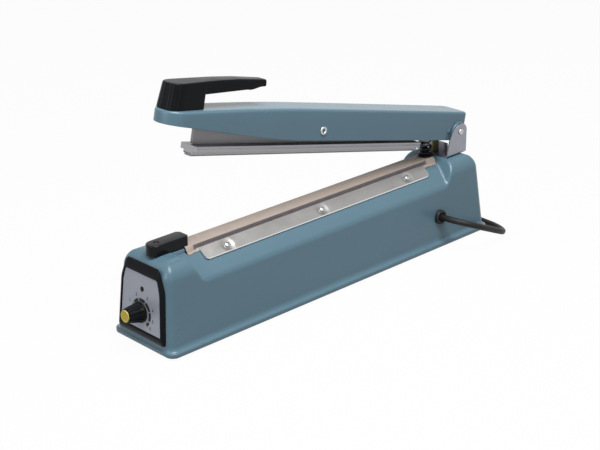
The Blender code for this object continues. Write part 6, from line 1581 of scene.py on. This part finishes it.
# Half width and height of the bar's near side, down to the lips that hold the strip
bar_side = [(0.0108, -0.0130), (0.0108, -0.0150), (0.0105, -0.0153), (0.0105, -0.0160), (0.0108, -0.0163),
            (0.0108, -0.0185), (0.0063, -0.0185), (0.0063, -0.0215), (0.0050, -0.0215), (0.0050, -0.0204)]
bar_section = bar_side + [(-y, z) for y, z in reversed(bar_side)]
piece("press_bar_drawn",
      *rings_to_mesh([[(-ahead, y, z) for y, z in bar_section] for ahead in (BAR_FRONT, BAR_REAR)]),
      bar_metal, "beam", "aluminium", ("press_bar",), ARM, 25, 0.0002)
strip_section = rounded([(-0.0047, -0.0207), (0.0047, -0.0207), (0.0047, -0.0231), (-0.0047, -0.0231)],
                        [0.0003, 0.0003, 0.0009, 0.0009])
silicone = finish("silicone", (0.22, 0.20, 0.205), (0.28, 0.255, 0.26), (0.50, 0.62), patch=200.0,
                  grain=1800.0, depth=0.00003)
piece("silicone_pad", *rings_to_mesh([[(-ahead, y, z) for y, z in strip_section]
                                      for ahead in (BAR_FRONT - BAR_PLAY, BAR_REAR + BAR_PLAY)]),
      silicone, "beam", "silicone", ("silicone_strip",), ARM, 35)


# Switch link, its pin and the return spring on its seat
# The arm pushes the flat link down through the hump; the spring stands on a black cup and lifts the arm.
# Yellow-zinc link, blackened spring steel, black plastic cup.
LINK_FRONT = 0.3890
LINK_REAR = 0.3978
LINK_FOOT = 0.0600
LINK_ARM = 0.016
LINK_OVER_PIN = 0.006
LINK_CORNERS = (0.0025, 0.0022, 0.0022, 0.0025)
LINK_HALF_THICKNESS = 0.001
link_pin_place = PIN_PLACE - LINK_ARM * math.cos(REST_OPENING)
link_pin_height = PIN_HEIGHT + LINK_ARM * math.sin(REST_OPENING)
link_head = link_pin_height + LINK_OVER_PIN
link_outline = rounded([(LINK_FRONT, link_head), (LINK_FRONT, LINK_FOOT), (LINK_REAR, LINK_FOOT),
                        (LINK_REAR, link_head)], LINK_CORNERS)
link_pin_axis = Matrix.Translation((link_pin_place, 0, link_pin_height)) @ ONTO_SIDE
link_form = combined(moved(ONTO_SIDE, *prism(link_outline, -LINK_HALF_THICKNESS, LINK_HALF_THICKNESS)),
                     moved(link_pin_axis, *rod(PIN_BORE, -0.010, 0.010)), "DIFFERENCE")
yellow_zinc = finish("yellow_zinc", (0.10, 0.095, 0.045), (0.15, 0.14, 0.065), (0.34, 0.46), 0.7, patch=150.0,
                     grain=1300.0)
piece("link_plate", *link_form, yellow_zinc, "link", "yellow_zinc", ("switch_link",), LIP, 35, 0.0002)
# Radius and distance from the middle of one half of the pin
SMALL_PIN = ((0.0, -0.0185), (0.0016, -0.0185), (0.0021, -0.0183), (0.0022, -0.0179), (0.0022, -0.0178),
             (0.0014, -0.0178))
small_pin = [*SMALL_PIN, *((radius, -height) for radius, height in reversed(SMALL_PIN))]
piece("link_pin_rivet", *turned_mesh(small_pin, 28), enamel, "arm", "zinc_steel", ("link_pin",),
      ARM @ Matrix.Translation((-LINK_ARM, 0, 0)) @ ONTO_SIDE, 40)
SPRING_WIRE = 0.0013
SPRING_RADIUS = 0.0058
SPRING_TURNS = 8
SPRING_STEPS = 24
SPRING_CLOSED_PITCH = 1.1
SPRING_FROM_PIN = 0.0315
# Lowest and highest corners of the spring's CAD solid, between which the coil runs
spring_low, spring_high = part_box("return_spring")
spring_middle = LIP @ Vector((PIN_PLACE - SPRING_FROM_PIN, 0, 0))
coil_low = spring_low.z + SPRING_WIRE / 2
coil_rise = spring_high.z - spring_low.z - SPRING_WIRE
spring_path = []
for index in range(SPRING_TURNS * SPRING_STEPS + 1):
    turns = index / SPRING_STEPS
    steady = (min(max(turns, 1), SPRING_TURNS - 1) - 1) / (SPRING_TURNS - 2)
    closed = SPRING_WIRE * SPRING_CLOSED_PITCH * (min(turns, 1) + max(turns - SPRING_TURNS + 1, 0))
    height = coil_low + closed + (coil_rise - SPRING_WIRE * 2 * SPRING_CLOSED_PITCH) * steady
    spring_path.append(Vector((spring_middle.x + SPRING_RADIUS * math.cos(2 * math.pi * turns),
                               SPRING_RADIUS * math.sin(2 * math.pi * turns), height)))
spring = piece("spring_coil", *tube_mesh(spring_path, SPRING_WIRE / 2, 12), dark_steel, "base",
               "bright_steel", ("return_spring",))
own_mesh(spring)
seat_profile = ((0.0, 0.0844), (0.0072, 0.0844), (0.0076, 0.0848), (0.0076, 0.0862), (0.0072, 0.0866),
                (0.0046, 0.0866), (0.0042, 0.0870), (0.0042, 0.0922), (0.0038, 0.0926), (0.0, 0.0926))
piece("spring_cup", *turned_mesh(seat_profile, 40), black_plastic, "base", "black_plastic", ("spring_seat",),
      LIP @ Matrix.Translation((PIN_PLACE - SPRING_FROM_PIN, 0, 0)), 40)


# Inside the base: timer, transformer and switch, kept as in the CAD
# They are out of sight behind the panel and under the humps, and get the finishes of the real parts.
# Laminated core, wound copper coil, green board, plated timer and black switch.
core_steel = finish("core_steel", (0.14, 0.14, 0.15), (0.19, 0.19, 0.20), (0.40, 0.55), 1.0, patch=80.0,
                    grain=900.0)
pattern(core_steel, "SAW", 900.0, "Y", 0.0001)
dress(core_steel, "transformer_core")
coil_wire = finish("copper_winding", (0.45, 0.19, 0.08), (0.58, 0.26, 0.12), (0.28, 0.40), 1.0, grain=900.0)
pattern(coil_wire, "SIN", 700.0, "Z", 0.0002)
dress(coil_wire, "transformer_coil")
board_green = finish("circuit_green", (0.020, 0.110, 0.045), (0.028, 0.150, 0.060), (0.30, 0.42), patch=250.0)
dress(board_green, "timer_board")
dress(zinc, "timer_pot", "switch_bracket")
dress(black_plastic, "microswitch")
dress(rivet_steel, "switch_lever")
